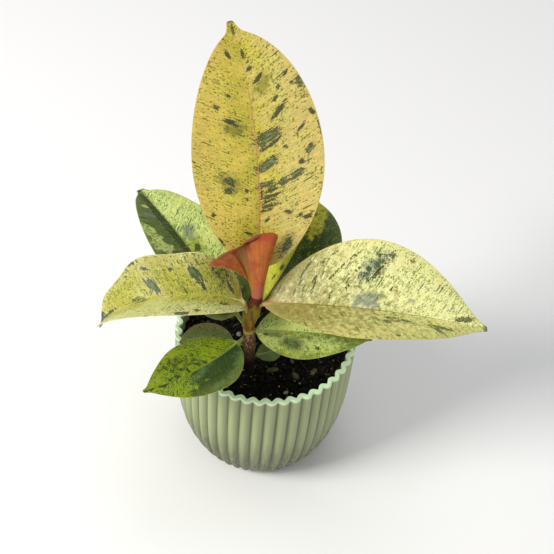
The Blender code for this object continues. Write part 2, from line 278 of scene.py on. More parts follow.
def sage_plastic():
    """Matt moulded plastic with a faint cast grain: paler mint along the thin rim, partly a painted
    highlight on its top, and painted shade in the grooves and towards the foot.
    """
    material, tree, shader = new_material(
        "sage_plastic", subsurface_weight=0.06, subsurface_radius=(1.0, 1.0, 0.7), subsurface_scale=0.8 * MM
    )
    place = place_in_mm(tree)
    height = apart(place)[2]
    slow = clouds(place, 0.09, 3.0)
    fine = clouds(place, 2.6, 4.0, 0.6)
    drag = clouds(stretched(place, (1.0, 1.0, 0.06)), 1.1, 3.0)
    # Painted shade: darker along each groove, and darker in streaks towards the foot.
    colour = laid_over(SAGE, attribute(tree, "groove", 2), linear(slow, 0.5, 0.7), PAINTED_SHADE)
    colour = laid_over(colour, drag, linear(step(height, *FOOT_SHADE), 1.5, 0.15), PAINTED_SHADE)
    # Paler mint over the rim, partly the thin plastic's own colour and partly a painted highlight where
    # light falls on its top face.
    colour = blended(step(height, *(POT_HEIGHT - under for under in LIP)), colour, MINT_EDGE_AND_HIGHLIGHT)
    dress(shader, plus(fine, times(drag, 0.6)), 0.02, colour, linear(fine, 0.2, 0.4))
    return material


pot = turned("fluted_pot", pot_profile(), FLUTES * POINTS_PER_FLUTE)
press_flutes(pot, BASE_RADIUS - FOOT_ROUND - FLUTE_DEPTH, WALL / 2)
around = np.arctan2(*vertex_places(pot)[:, 1::-1].T)
# How deep in its groove each point lies, for the painted shade there.
keep(pot, "groove", (1 - np.abs(np.sin(FLUTES * around / 2))) ** SHADE_SHARPNESS)
pot.data.materials.append(sage_plastic())
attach(pot, "root")
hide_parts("pot")

# Potting mix ----------------------------------------------
# Dark damp coir and peat. A turned body with a lumpy top fills the pot to 8 mm under its rim. Crumbs,
# splinters and a few dull white grains lie scattered over it, each a tiny roughened ball.

SOIL_LEVEL = 52.0
SOIL_SIDES = (8.0, 16.0, 26.0, 38.0, 47.0)
SOIL_HEEL = 4.0  # how far the mix draws in at its foot
TOP_DEPTH = 0.5  # points less than this under the level are the lumpy top
FLUTE_RUN = 1.0  # how far in from the wall the flutes press the mix in full
SOIL_MOUND = 1.6
MOUND_REACH = 9.0
SOIL_RIPPLE = 0.35
RIPPLE_LENGTHS = (4.1, 5.3, 9.0)
RIPPLE_START = 0.6
STEM_FOOT_X = -4.6
STEM_FOOT_Y = -15.5
LUMP_HEIGHT = 0.7
LUMP_MIDDLE = 0.4
LUMPS_PER_MM = (0.45, 1.9)
BODY_TINT = 0.12
SOIL_TOP_RINGS = 50
SOIL_CLEARANCE = 0.08
WALL_GAP = 0.6  # how far off the wall the scattered bits begin
CLEAR = 0.7  # how much further a bit's middle stays off it for each mm of its size
ROUGHNESS = 0.28  # how far a bit's corners stand in or out, as a share of its size
SQUASH = (0.6, 1.1)  # the least and the most that a bit measures each way, as a share of its size
FLATNESS = 0.8
TIP_MOST = 0.45  # the steepest that a bit lies, in radians
SEAT = 0.15  # how high over the mix the middle of the smallest bit lies
SEAT_SHARE = 0.3  # how much higher it lies for each mm of its size
FINE_SHARE = 2.5  # above 1, more bits are small than large
SCATTER_SEED = 11
# How many, the smallest and the largest size in mm, how much longer than wide, and the range of tints.
CRUMBS = (4200, 0.25, 0.75, 1.2, (0.0, 0.45))
LUMPS = (170, 0.7, 1.5, 1.2, (0.0, 0.3))
SPLINTERS = (90, 0.22, 0.4, 6.0, (0.3, 0.78))
GRIT = (460, 0.3, 0.85, 1.3, (0.4, 0.72))
GRAINS = (150, 0.18, 0.5, 1.2, (0.85, 1.0))
PEAT = display(8, 8, 5)
COIR = display(38, 30, 20)
LITTER = display(132, 122, 90)
PALE_GRAIN = display(178, 178, 156)


def soil_height(x, y):
    """The top of the mix: level, with low ripples, and heaped a little round the stem."""
    away = np.hypot(x - STEM_FOOT_X, y - STEM_FOOT_Y)
    first, second, third = RIPPLE_LENGTHS
    ripple = np.sin(x / first + RIPPLE_START) + np.sin(y / second - x / third)
    return SOIL_LEVEL + SOIL_MOUND * np.exp(-((away / MOUND_REACH) ** 2)) + SOIL_RIPPLE * ripple


def soil_profile():
    edge = wall_radius(SOIL_LEVEL) - WALL - SOIL_CLEARANCE
    sides = [(wall_radius(z) - WALL - SOIL_CLEARANCE, z) for z in SOIL_SIDES]
    top = [(edge * (1 - ring / SOIL_TOP_RINGS), SOIL_LEVEL) for ring in range(SOIL_TOP_RINGS + 1)]
    return [(0.0, FLOOR + SOIL_CLEARANCE), (sides[0][0] - SOIL_HEEL, FLOOR + SOIL_CLEARANCE)] + sides + top


def rotated(first, second, angle):
    """Two of a point's coordinates, turned by an angle from the first towards the second."""
    cos, sin = np.cos(angle), np.sin(angle)
    return first * cos - second * sin, first * sin + second * cos


def scattered(name, kinds):
    """Many tiny roughened balls on the mix, in one piece, with a tint kept for each."""
    piece = started(name, bpy.ops.mesh.primitive_ico_sphere_add, subdivisions=1, radius=MM)
    ball = vertex_places(piece)
    faces = np.array([tuple(face.vertices) for face in piece.data.polygons])
    chance = np.random.default_rng(SCATTER_SEED)
    points, tints = [], []
    for count, smallest, largest, stretch, tint_range in kinds:
        size = smallest + (largest - smallest) * chance.random(count) ** FINE_SHARE
        turn = chance.random(count) * 2 * np.pi
        reach = wall_radius(SOIL_LEVEL) - WALL - WALL_GAP
        away = np.sqrt(chance.random(count)) * reach
        x, y = away * np.cos(turn), away * np.sin(turn)
        inner = fluted_radius(x * reach / away, y * reach / away, reach - FLUTE_RUN, True) - size * CLEAR
        x, y = x * np.minimum(1, inner / away), y * np.minimum(1, inner / away)
        rough = ball[None] * (1 + chance.uniform(-ROUGHNESS, ROUGHNESS, (count, len(ball), 1)))
        rough *= size[:, None, None] * (chance.uniform(*SQUASH, (count, 1, 3)) * (stretch, 1.0, FLATNESS))
        spin = chance.uniform(0, 2 * np.pi, (count, 1))
        tip = chance.uniform(-TIP_MOST, TIP_MOST, (count, 1))
        tipped, raised = rotated(rough[..., 0], rough[..., 2], tip)
        spun = rotated(tipped, rough[..., 1], spin)
        middle = np.stack([x, y, soil_height(x, y) + SEAT + size * SEAT_SHARE], -1)
        points.append(np.stack([*spun, raised], -1) + middle[:, None])
        tints.append(np.repeat(chance.uniform(*tint_range, count), len(ball)))
    points = np.concatenate(points)
    body = bpy.data.meshes.new(name)
    every_face = (faces[None] + len(ball) * np.arange(len(points))[:, None, None]).reshape(-1, 3)
    body.from_pydata((points.reshape(-1, 3) * MM).tolist(), [], every_face.tolist())
    piece.data = body
    keep(piece, "tint", np.concatenate(tints))
    return piece


def potting_mix():
    """Nearly black peat with brown coir. A tint from 0 to 1 runs from peat over coir to pale grit."""
    material, tree, shader = new_material("potting_mix", specular_ior_level=0.18)
    place = place_in_mm(tree)
    tint = attribute(tree, "tint", 2)
    fine = clouds(place, 2.2, 4.0, 0.7)
    damp = clouds(place, 0.12, 2.0)
    colour = blended(step(tint, 0.0, 0.5), PEAT, COIR)
    colour = blended(step(tint, 0.5, 0.8), colour, LITTER)
    colour = blended(step(tint, 0.85, 1.0), colour, PALE_GRAIN)
    colour = laid_over(colour, step(fine, 0.35, 0.65), linear(tint, -0.8, 1.0), PEAT)
    dress(shader, fine, 0.3, colour, linear(damp, 0.5, 0.5))
    return material


soil = turned("packed_soil", soil_profile(), 4 * FLUTES)
press_flutes(soil, wall_radius(SOIL_LEVEL) - WALL - FLUTE_RUN, 0.0)
places = vertex_places(soil)
on_top = places[:, 2] > SOIL_LEVEL - TOP_DEPTH
heights = soil_height(places[:, 0], places[:, 1])
for i in np.flatnonzero(on_top):
    point = Vector(places[i])
    lump = noise.fractal(point * LUMPS_PER_MM[0], 0.6, 2.0, 4) + 0.5 * noise.noise(point * LUMPS_PER_MM[1])
    places[i, 2] = heights[i] + LUMP_HEIGHT * (lump - LUMP_MIDDLE)
move_vertices(soil, places)
keep(soil, "tint", np.full(len(places), BODY_TINT))
mix_look = potting_mix()
crumbs = scattered("soil_crumbs", (CRUMBS, LUMPS, SPLINTERS, GRIT, GRAINS))
for piece in (soil, crumbs):
    piece.data.materials.append(mix_look)
    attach(piece, "root")
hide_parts("soil")

# Bark chips and perlite -----------------------------------
# Loose bits that lie on the mix: five splinters of tan bark and three porous white grains, a little soiled.
# Each starts as a ball, is squared off, turned to lie as it fell and roughened.

# Each lies at x and y, is so long, wide and high in mm, and is turned so many degrees.
BARK_CHIPS = (
    (3.5, -13.5, 4.6, 2.0, 1.2, 20),
    (12.0, -14.5, 3.6, 2.2, 1.4, -35),
    (18.5, -12.0, 3.8, 2.0, 1.3, 60),
    (-14.0, 12.0, 5.0, 2.4, 1.4, 110),
    (14.0, 13.0, 4.2, 2.2, 1.2, 150),
)
PERLITE = (
    (-10.0, 2.5, 2.2, 1.9, 1.6, 0),
    (9.0, -22.5, 1.9, 1.6, 1.4, 30),
    (6.0, 19.0, 2.3, 2.0, 1.6, 75),
)
# Roundness is 1 for a ball and less for a squarer bit. The bumps stand out so far, and so many lie across
# a bit. Where drawn_out is under 1, they are drawn out along it.
BARK_SHAPE = dict(roundness=0.55, bumps=0.22, bump_count=1.6, drawn_out=0.35)
PERLITE_SHAPE = dict(roundness=0.9, bumps=0.3, bump_count=1.5, drawn_out=1.0)
UNDERSIDE = 0.7  # where a bit's round underside is cut flat, as a share of half its height
SUNK = 0.25  # how deep a bit is pressed into the mix
BULGE_MIDDLE = 0.3
TRIM = 0.92  # brings a bulging bit back to its size
BARK_DARK = display(80, 70, 48)
BARK_TAN = display(124, 110, 82)
PORE_GREY = display(120, 112, 96)
PERLITE_WHITE = display(214, 210, 198)
PEAT_STAIN = display(84, 68, 50)


def loose_bit(name, node, spot, roundness, bumps, bump_count, drawn_out):
    """A rough lump that lies at the height where its node lies."""
    x, y, length, width, height, turn = spot
    piece = started(name, bpy.ops.mesh.primitive_ico_sphere_add, subdivisions=4, radius=MM)
    ball = vertex_places(piece)
    square = np.sign(ball) * np.abs(ball) ** roundness
    seed = Vector((x, y, 0.0))
    shaped = []
    for point, whole in zip(square, ball):
        at = Vector(whole * (drawn_out, 1.0, 1.0)) * bump_count + seed
        bulge = 1 + bumps * (noise.fractal(at, 0.7, 2.0, 4) - BULGE_MIDDLE)
        shaped.append(point * bulge * TRIM)
    shaped = np.array(shaped) * (length / 2, width / 2, height / 2)
    shaped[:, 2] = np.maximum(shaped[:, 2], -UNDERSIDE * height / 2)
    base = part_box(node)[0].z / MM - SUNK
    flat = rotated(shaped[:, 0], shaped[:, 1], math.radians(turn))
    move_vertices(piece, np.stack([*flat, shaped[:, 2]], -1) + (x, y, base + UNDERSIDE * height / 2))
    bpy.ops.object.shade_smooth()
    return piece


def bark_look():
    """Dry bark: tan wood with darker fibres along it."""
    material, tree, shader = new_material("bark", roughness=0.9, specular_ior_level=0.2)
    place = place_in_mm(tree)
    coarse = clouds(place, 0.8, 4.0, 0.7)
    fine = clouds(place, 3.5, 3.0, 0.6)
    colour = blended(step(coarse, 0.35, 0.65), BARK_DARK, BARK_TAN)
    dress(shader, fine, 0.2, blended(step(fine, 0.45, 0.7), colour, PEAT))
    return material


def perlite_look():
    """Puffed white glass, full of pores and dusty with peat."""
    material, tree, shader = new_material("perlite", roughness=0.85)
    place = place_in_mm(tree)
    pores = clouds(place, 3.2, 3.0, 0.6)
    dirt = clouds(place, 0.9, 4.0, 0.6)
    colour = blended(step(pores, 0.4, 0.6), PORE_GREY, PERLITE_WHITE)
    dress(shader, pores, 0.25, blended(step(dirt, 0.45, 0.7), colour, PEAT_STAIN))
    return material


for spots, kind, look, slot, shape in (
    (BARK_CHIPS, "bark_chip", bark_look(), "bark", BARK_SHAPE),
    (PERLITE, "perlite", perlite_look(), "perlite", PERLITE_SHAPE),
):
    for number, spot in enumerate(spots, start=1):
        node = f"{kind}_{number}"
        bit = loose_bit("rough_" + node, node, spot, **shape)
        bit.data.materials.append(look)
        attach(bit, "root")
        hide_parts(node)

# Stem -----------------------------------------------------
# A short woody stem, brown below and still green above, that swells at the foot of each leaf. A fine raised
# ring goes round it above each leaf, where the sheath of the next one sat.

STEM_FOOT = 40.0
STEM_TOP = 93.8
# Up the stem: the height, the middle's x and y, and the radius, in mm.
STEM_LINE = (
    (38.0, -4.6, -15.5, 1.75),
    (53.0, -4.6, -15.5, 1.75),
    (62.0, -5.0, -15.2, 1.8),
    (67.0, -5.2, -15.0, 2.0),
    (72.0, -5.5, -14.9, 2.05),
    (77.0, -5.9, -14.6, 1.7),
    (79.0, -6.0, -14.5, 1.9),
    (82.0, -5.8, -14.2, 2.5),
    (86.0, -5.4, -13.8, 2.9),
    (88.5, -4.8, -13.5, 2.4),
    (90.0, -4.2, -13.3, 1.8),
    (93.8, -3.7, -13.0, 1.7),
)
LEAF_HEIGHTS = (63.0, 68.5, 73.0, 77.0, 84.5, 88.5, 91.5)
NODE_SWELL = 0.25
NODE_SPREAD = 1.3
SCAR_RISE = 1.6  # from the leaf's middle up to its sheath's ring
SCAR_TILT = 0.5
SCAR_SWELL = 0.14
SCAR_SPREAD = 0.28
BARK_ROUGH = 0.09
STEM_SIDES = 28
STEM_STEP = 0.45
SEAM_GAP = 0.004  # points of a skin nearer than this are one
# Heights from where to where each colour takes over from the one below it.
BARK_FROM = (59.0, 71.0)
PALE_STREAKS_FROM = (66.0, 72.0)
NODE_FROM = (75.5, 76.7)
GREEN_FROM = (77.2, 78.6)
RED_FROM = (88.5, 91.0)
WORN_BELOW = (78.0, 74.0)
SOIL_BROWN = display(34, 24, 18)
BARK_BROWN = display(96, 66, 40)
BARK_PALE = display(182, 156, 116)
CREAM_NODE = display(166, 152, 60)
OLIVE = display(152, 132, 34)
OLIVE_SHADE = display(128, 82, 24)
RED_BROWN = display(84, 34, 20)


def stem_centre(z):
    heights, xs, ys, _ = zip(*STEM_LINE)
    return Vector((float(np.interp(z, heights, xs)), float(np.interp(z, heights, ys)), z))


def stem_radius(z):
    heights, _, _, radii = zip(*STEM_LINE)
    swell = max(math.exp(-(((z - h) / NODE_SPREAD) ** 2)) for h in LEAF_HEIGHTS)
    return float(np.interp(z, heights, radii)) + NODE_SWELL * swell


def scar_ring(z, turn):
    """The raised ring above a leaf, tipped a little to the leaf's side."""
    tilt = SCAR_TILT * math.sin(turn)
    return max(math.exp(-(((z - h - SCAR_RISE - tilt) / SCAR_SPREAD) ** 2)) for h in LEAF_HEIGHTS)


def skin_through(name, rings):
    """A grid rolled into a tube through rings of points, in mm. A ring's last point lies on its first."""
    rows, columns = rings.shape[:2]
    sizes = dict(x_subdivisions=columns - 1, y_subdivisions=rows - 1, size=MM)
    tube = started(name, bpy.ops.mesh.primitive_grid_add, **sizes)
    move_vertices(tube, rings.reshape(-1, 3))
    return tube


def seal(tube):
    """Joins a tube's seam, fills its two ends and smooths it."""
    bpy.ops.object.mode_set(mode="EDIT")
    bpy.ops.mesh.select_mode(type="VERT")
    bpy.ops.mesh.select_all(action="SELECT")
    bpy.ops.mesh.remove_doubles(threshold=SEAM_GAP * MM)
    bpy.ops.mesh.select_all(action="DESELECT")
    bpy.ops.mesh.select_non_manifold()
    bpy.ops.mesh.fill_holes(sides=0)
    bpy.ops.mesh.select_all(action="SELECT")
    bpy.ops.mesh.normals_make_consistent(inside=False)
    bpy.ops.object.mode_set(mode="OBJECT")
    bpy.ops.object.modifier_add(type="SUBSURF")
    smoother = tube.modifiers[-1]
    smoother.levels = 1
    smoother.render_levels = 1
    bpy.ops.object.modifier_apply(modifier=smoother.name)
    bpy.ops.object.shade_smooth()


def stem_rings():
    """Rings of points up the stem's line, with its swellings, rings and rough bark."""
    rows = round((STEM_TOP - STEM_FOOT) / STEM_STEP)
    heights = [STEM_FOOT + (STEM_TOP - STEM_FOOT) * row / rows for row in range(rows + 1)]
    rings = []
    for z in heights:
        ring = []
        for side in range(STEM_SIDES + 1):
            turn = 2 * math.pi * (side % STEM_SIDES) / STEM_SIDES
            point = Vector((math.cos(turn), math.sin(turn), 0.0))
            rough = noise.noise(Vector((point.x * 2.0, point.y * 2.0, z * 0.5)))
            radius = stem_radius(z) + SCAR_SWELL * scar_ring(z, turn) + BARK_ROUGH * rough
            ring.append(stem_centre(z) + radius * point)
        rings.append(ring)
    return np.array(rings)


def young_bark():
    """Thin bark: brown with pale streaks low down, yellow at the oldest green node, then olive and
    red-brown.
    """
    material, tree, shader = new_material(
        "young_bark", subsurface_weight=0.05, subsurface_scale=0.5 * MM, specular_ior_level=0.25
    )
    place = place_in_mm(tree)
    drawn = stretched(place, (1.0, 1.0, 0.18))
    lines = clouds(drawn, 2.4, 4.0, 0.65)
    bands = clouds(drawn, 0.8, 2.0)
    blotches = clouds(place, 0.7, 3.0, 0.6)
    height = plus(apart(place)[2], linear(blotches, 4.0, -2.0))
    colour = blended(step(height, *BARK_FROM), SOIL_BROWN, BARK_BROWN)
    # Pale cream streaks over the bark between these heights.
    pale_streaks = times(step(lines, 0.52, 0.64), step(height, *PALE_STREAKS_FROM))
    colour = laid_over(colour, pale_streaks, 0.8, BARK_PALE)
    colour = blended(step(height, *NODE_FROM), colour, CREAM_NODE)
    skin = blended(step(bands, 0.62, 0.38), OLIVE, OLIVE_SHADE)
    colour = blended(step(height, *GREEN_FROM), colour, skin)
    colour = blended(step(height, *RED_FROM), colour, RED_BROWN)
    worn = step(height, *WORN_BELOW)
    colour = laid_over(colour, step(lines, 0.5, 0.38), linear(worn, 0.5, 0.2), SOIL_BROWN)
    dress(shader, lines, 0.12, colour, linear(blotches, 0.4, 0.4))
    return material


stem = skin_through("bare_stem", stem_rings())
seal(stem)
stem.data.materials.append(young_bark())
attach(stem, "root")
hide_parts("stem")

# Leaves ---------------------------------------------------
# Nine waxy leaves in a spiral up the stem, each grown as one: a round stalk that runs out as the midrib of
# a thin folded blade. The pale ones hold the least green, in flecks that follow their side veins.

STALK_FLARE = 0.3  # how much the stalk widens where it meets the stem
FLARE_REACH = 1.2
STALK_CLEAR = 2.0  # mm from the bark over which the stalk takes its own colour
STALK_STEP = 0.9
BLADE_MIDDLE = 0.30  # half the blade's thickness
BLADE_EDGE = 0.14
EDGE_ROUND = 14
MIDRIB_END = 0.22  # the midrib's radius under the tip
RIB_THINNING = 0.6  # under 1, the midrib thins soonest near its foot
RIDGE_END = 0.10  # share of the blade over which the stalk sinks into its upper face
SPREAD_END = 0.03  # share over which the stalk flattens out into the blade
GROOVE_DEPTH = 0.2
GROOVE_WIDTH = 0.6
FOLD_ROUND = 0.9  # the inner radius of the fold along the midrib
VEIN_LEAN = 0.5  # how far a side vein runs towards the tip for each step outwards
VEIN_SPACING = 2.9
MARK_SQUARENESS = 2.6  # 2 would make each mark an ellipse
TIP_START = 0.75
TIP_SHARE = 0.3  # how wide the tip's taper grows, as a share of the blade
TIP_BLEND = 0.06
SPINE_STEPS = 96
FACE_STEPS = 32  # points from one margin to the other
FACE_CROWDING = 1.6  # above 1, they crowd towards the midrib
ROW_STEP = 1.1
ROW_CROWDING = 0.45  # how far the rows crowd towards the base and the tip
BLADE_ROWS_LEAST = 14
STALK_ROWS_LEAST = 6
SEED_STEP = 40.0  # how far apart two leaves lie in the noise

STRAW = display(204, 190, 104)
HONEY = display(224, 204, 88)
LEMON = display(198, 184, 64)
PALE_CREAM = display(236, 237, 168)
STRAW_CREAM = display(196, 198, 122)
BUTTER = display(162, 160, 54)
KHAKI = display(230, 226, 144)
BASE_KHAKI = display(126, 112, 36)
LIME = display(178, 174, 66)
PALE_GREEN = display(214, 226, 136)
SPRING_GREEN = display(156, 170, 80)
MEADOW = display(126, 140, 44)
FRESH_GREEN = display(138, 158, 22)
OLIVE_YELLOW = display(204, 202, 56)
GREY_GREEN = display(102, 120, 66)
MOSS = display(54, 76, 36)
DEEP_GREEN = display(40, 62, 20)
TEAL = display(34, 54, 32)
FLECK_OLIVE = display(94, 90, 34)
SLATE = display(126, 138, 128)
FERN = display(80, 100, 62)
SAGE_GREEN = display(112, 130, 78)
SAGE_HEART = display(130, 148, 98)
OLIVE_BLUR = display(130, 128, 42)
CREAM = display(226, 220, 158)
TAN = display(210, 180, 108)
BLUSH = display(186, 130, 82)
NODE_BROWN = display(132, 84, 44)

# LEAF is what most leaves have, and each of LEAVES is what one has of its own. Pairs run from a leaf's base
# to its tip, or from its left half to its right one. A wave is how far the margin lifts and dips, how many
# times, and where it starts. The point is half the tip's width in mm and how much wider it gets for each mm
# back. A stalk is thick mm in radius, and rooted that far from the stem's middle. Flecks and dashes are the
# shares of the spots where they could lie that hold one.
LEAF = dict(
    rooted=(0, 0, 0), oval_end=0.955, flush=FRESH_GREEN, flush_reach=0.0, dark=DEEP_GREEN, fleck=DEEP_GREEN,
    soft=SLATE, heart=GREY_GREEN, rib=SPRING_GREEN, stalk_hue=SPRING_GREEN, margin=SPRING_GREEN,
    slot="green_leaf",
)
LEAVES = {
    "upright_leaf": dict(
        height=91.5, stalk=11.0, thick=0.9, rooted=(0, 0, -4.5), rise=58, heading=(94, 122), climb=(70, 38),
        length=81.0, half_width=21.6, roll=(-3, -3), fold=(9, 14), fullness=(0.55, 0.99), point=(0.6, 0.5),
        wave=((0.5, 2.2, 0.1), (0.5, 2.0, 0.6)), ground=(HONEY, STRAW), flush=LEMON, flush_reach=11.0,
        dark=TEAL, fleck=FLECK_OLIVE, soft=OLIVE_BLUR, heart=SAGE_HEART, rib=BLUSH, stalk_hue=BLUSH,
        margin=TAN, flecks=(0.5, 0.55), dashes=(0.12, 0.22), tip=0.985, slot="pale_leaf",
    ),
    "right_leaf": dict(
        height=89.0, stalk=4.0, thick=0.75, rooted=(0, 0, -0.5), rise=25, heading=(-10, 0), climb=(19, -12),
        length=74.5, half_width=23.5, roll=(8, 8), fold=(30, 35), fullness=(0.80, 0.94), point=(0.5, 0.62),
        wave=((0.4, 1.6, 0.3), (0.5, 2.0, 0.0)), ground=(PALE_CREAM, KHAKI), flush=BASE_KHAKI,
        fleck=OLIVE_BLUR, heart=SAGE_HEART, rib=BASE_KHAKI, stalk_hue=BLUSH, margin=STRAW,
        flecks=(0.6, 0.7), dashes=(0.28, 0.3), tip=0.975, slot="pale_leaf",
    ),
    "left_leaf": dict(
        height=88.5, stalk=4.8, thick=0.7, rooted=(-2.2, -2.4, -5), rise=36, heading=(200, 170),
        climb=(38, -69), length=58.2, half_width=14.5, roll=(-11, -3), fold=(32, 31), fullness=(0.50, 0.88),
        point=(0.6, 0.4), wave=((0.5, 1.7, 0.2), (1.2, 3.0, 0.49)), ground=(STRAW_CREAM, BUTTER),
        flush=LIME, flush_reach=9.0, dark=TEAL, fleck=FLECK_OLIVE, soft=OLIVE_BLUR, heart=SAGE_GREEN,
        rib=LIME, stalk_hue=CREAM, margin=CREAM, flecks=(0.6, 0.7), dashes=(0.2, 0.25), tip=0.925,
        slot="pale_leaf",
    ),
    "back_left_leaf": dict(
        height=77.0, stalk=7.0, thick=0.7, rise=35, heading=(146, 138), climb=(45, 13), length=54.5,
        half_width=15.4, roll=(-13, 17), fold=(15, 16), fullness=(0.43, 0.91), oval_end=0.968,
        point=(1.5, 0.5), wave=((0.4, 2.0, 0.3), (0.5, 2.2, 0.1)), ground=(GREY_GREEN, PALE_GREEN),
        fleck=GREY_GREEN, flecks=(0.2, 0.8), dashes=(0.3, 0.15), tip=0.98,
    ),
    "back_right_leaf": dict(
        height=84.5, stalk=6.0, thick=0.7, rise=24, heading=(44, 86), climb=(44, 18), length=41.5,
        half_width=15.5, roll=(-10, -7), fold=(-20, -4), fullness=(0.62, 1.05), point=(0.5, 0.5),
        wave=((0.3, 2.0, 0.3), (0.4, 2.0, 0.1)), ground=(OLIVE_YELLOW, DEEP_GREEN), flush=OLIVE_YELLOW,
        fleck=MEADOW, rib=DEEP_GREEN, margin=MEADOW, flecks=(0.4, 0.4), dashes=(0.06, 0.1), tip=0.98,
    ),
    "front_left_leaf": dict(
        height=73.0, stalk=6.5, thick=0.5, rooted=(-1.4, 0.8, 0.6), rise=23, heading=(232, 210),
        climb=(-3, 6), length=38.0, half_width=13.9, roll=(-1, 16), fold=(8, -2), fullness=(0.67, 0.94),
        point=(0.5, 0.6), wave=((0.3, 2.0, 0.3), (0.3, 2.0, 0.1)), ground=(DEEP_GREEN, FRESH_GREEN),
        soft=FERN, heart=MOSS, rib=MEADOW, margin=MEADOW, flecks=(0.15, 1.2), dashes=(0.1, 0.7), tip=1.2,
    ),
    "low_left_leaf": dict(
        height=68.5, stalk=6.0, thick=0.5, rise=4, heading=(170, 205), climb=(5, -10), length=19.0,
        half_width=7.0, roll=(10, 2), fold=(8, 6), fullness=(0.62, 1.02), point=(0.4, 0.5),
        wave=((0.2, 1.0, 0.3), (0.2, 1.0, 0.1)), ground=(SAGE_GREEN, SAGE_GREEN), dark=MOSS,
        soft=SAGE_GREEN, margin=BLUSH, flecks=(0.3, 0.3), dashes=(0.05, 0.05), tip=0.95,
    ),
    "low_right_leaf": dict(
        height=77.0, stalk=2.6, thick=0.6, rise=0, heading=(-3, -8), climb=(10, 6), length=40.0,
        half_width=14.6, roll=(3, -8), fold=(10, 12), fullness=(0.65, 0.97), point=(0.5, 0.5),
        # Its pale left half and the pale flush at its base are partly the leaf's own colour and partly
        # painted light, lifted where the leaves above shade it.
        wave=((0.2, 2.0, 0.3), (0.3, 1.5, 0.1)), ground=(PALE_GREEN, MEADOW), flush=PALE_GREEN, dark=MOSS,
        soft=SAGE_GREEN, flecks=(0.3, 0.35), dashes=(0.06, 0.08), tip=0.97,
    ),
    "small_leaf": dict(
        height=63.0, stalk=2.6, thick=0.4, rise=0, heading=(15, 35), climb=(5, -5), length=9.5,
        half_width=4.4, roll=(0, 0), fold=(8, 8), fullness=(0.60, 0.98), point=(0.3, 0.4),
        wave=((0.1, 1.0, 0.3), (0.1, 1.0, 0.1)), ground=(GREY_GREEN, GREY_GREEN), margin=GREY_GREEN,
        flecks=(0.1, 0.1), dashes=(0.0, 0.0), tip=0.97,
    ),
}

VEIN_ANGLE = math.degrees(math.atan(VEIN_LEAN))
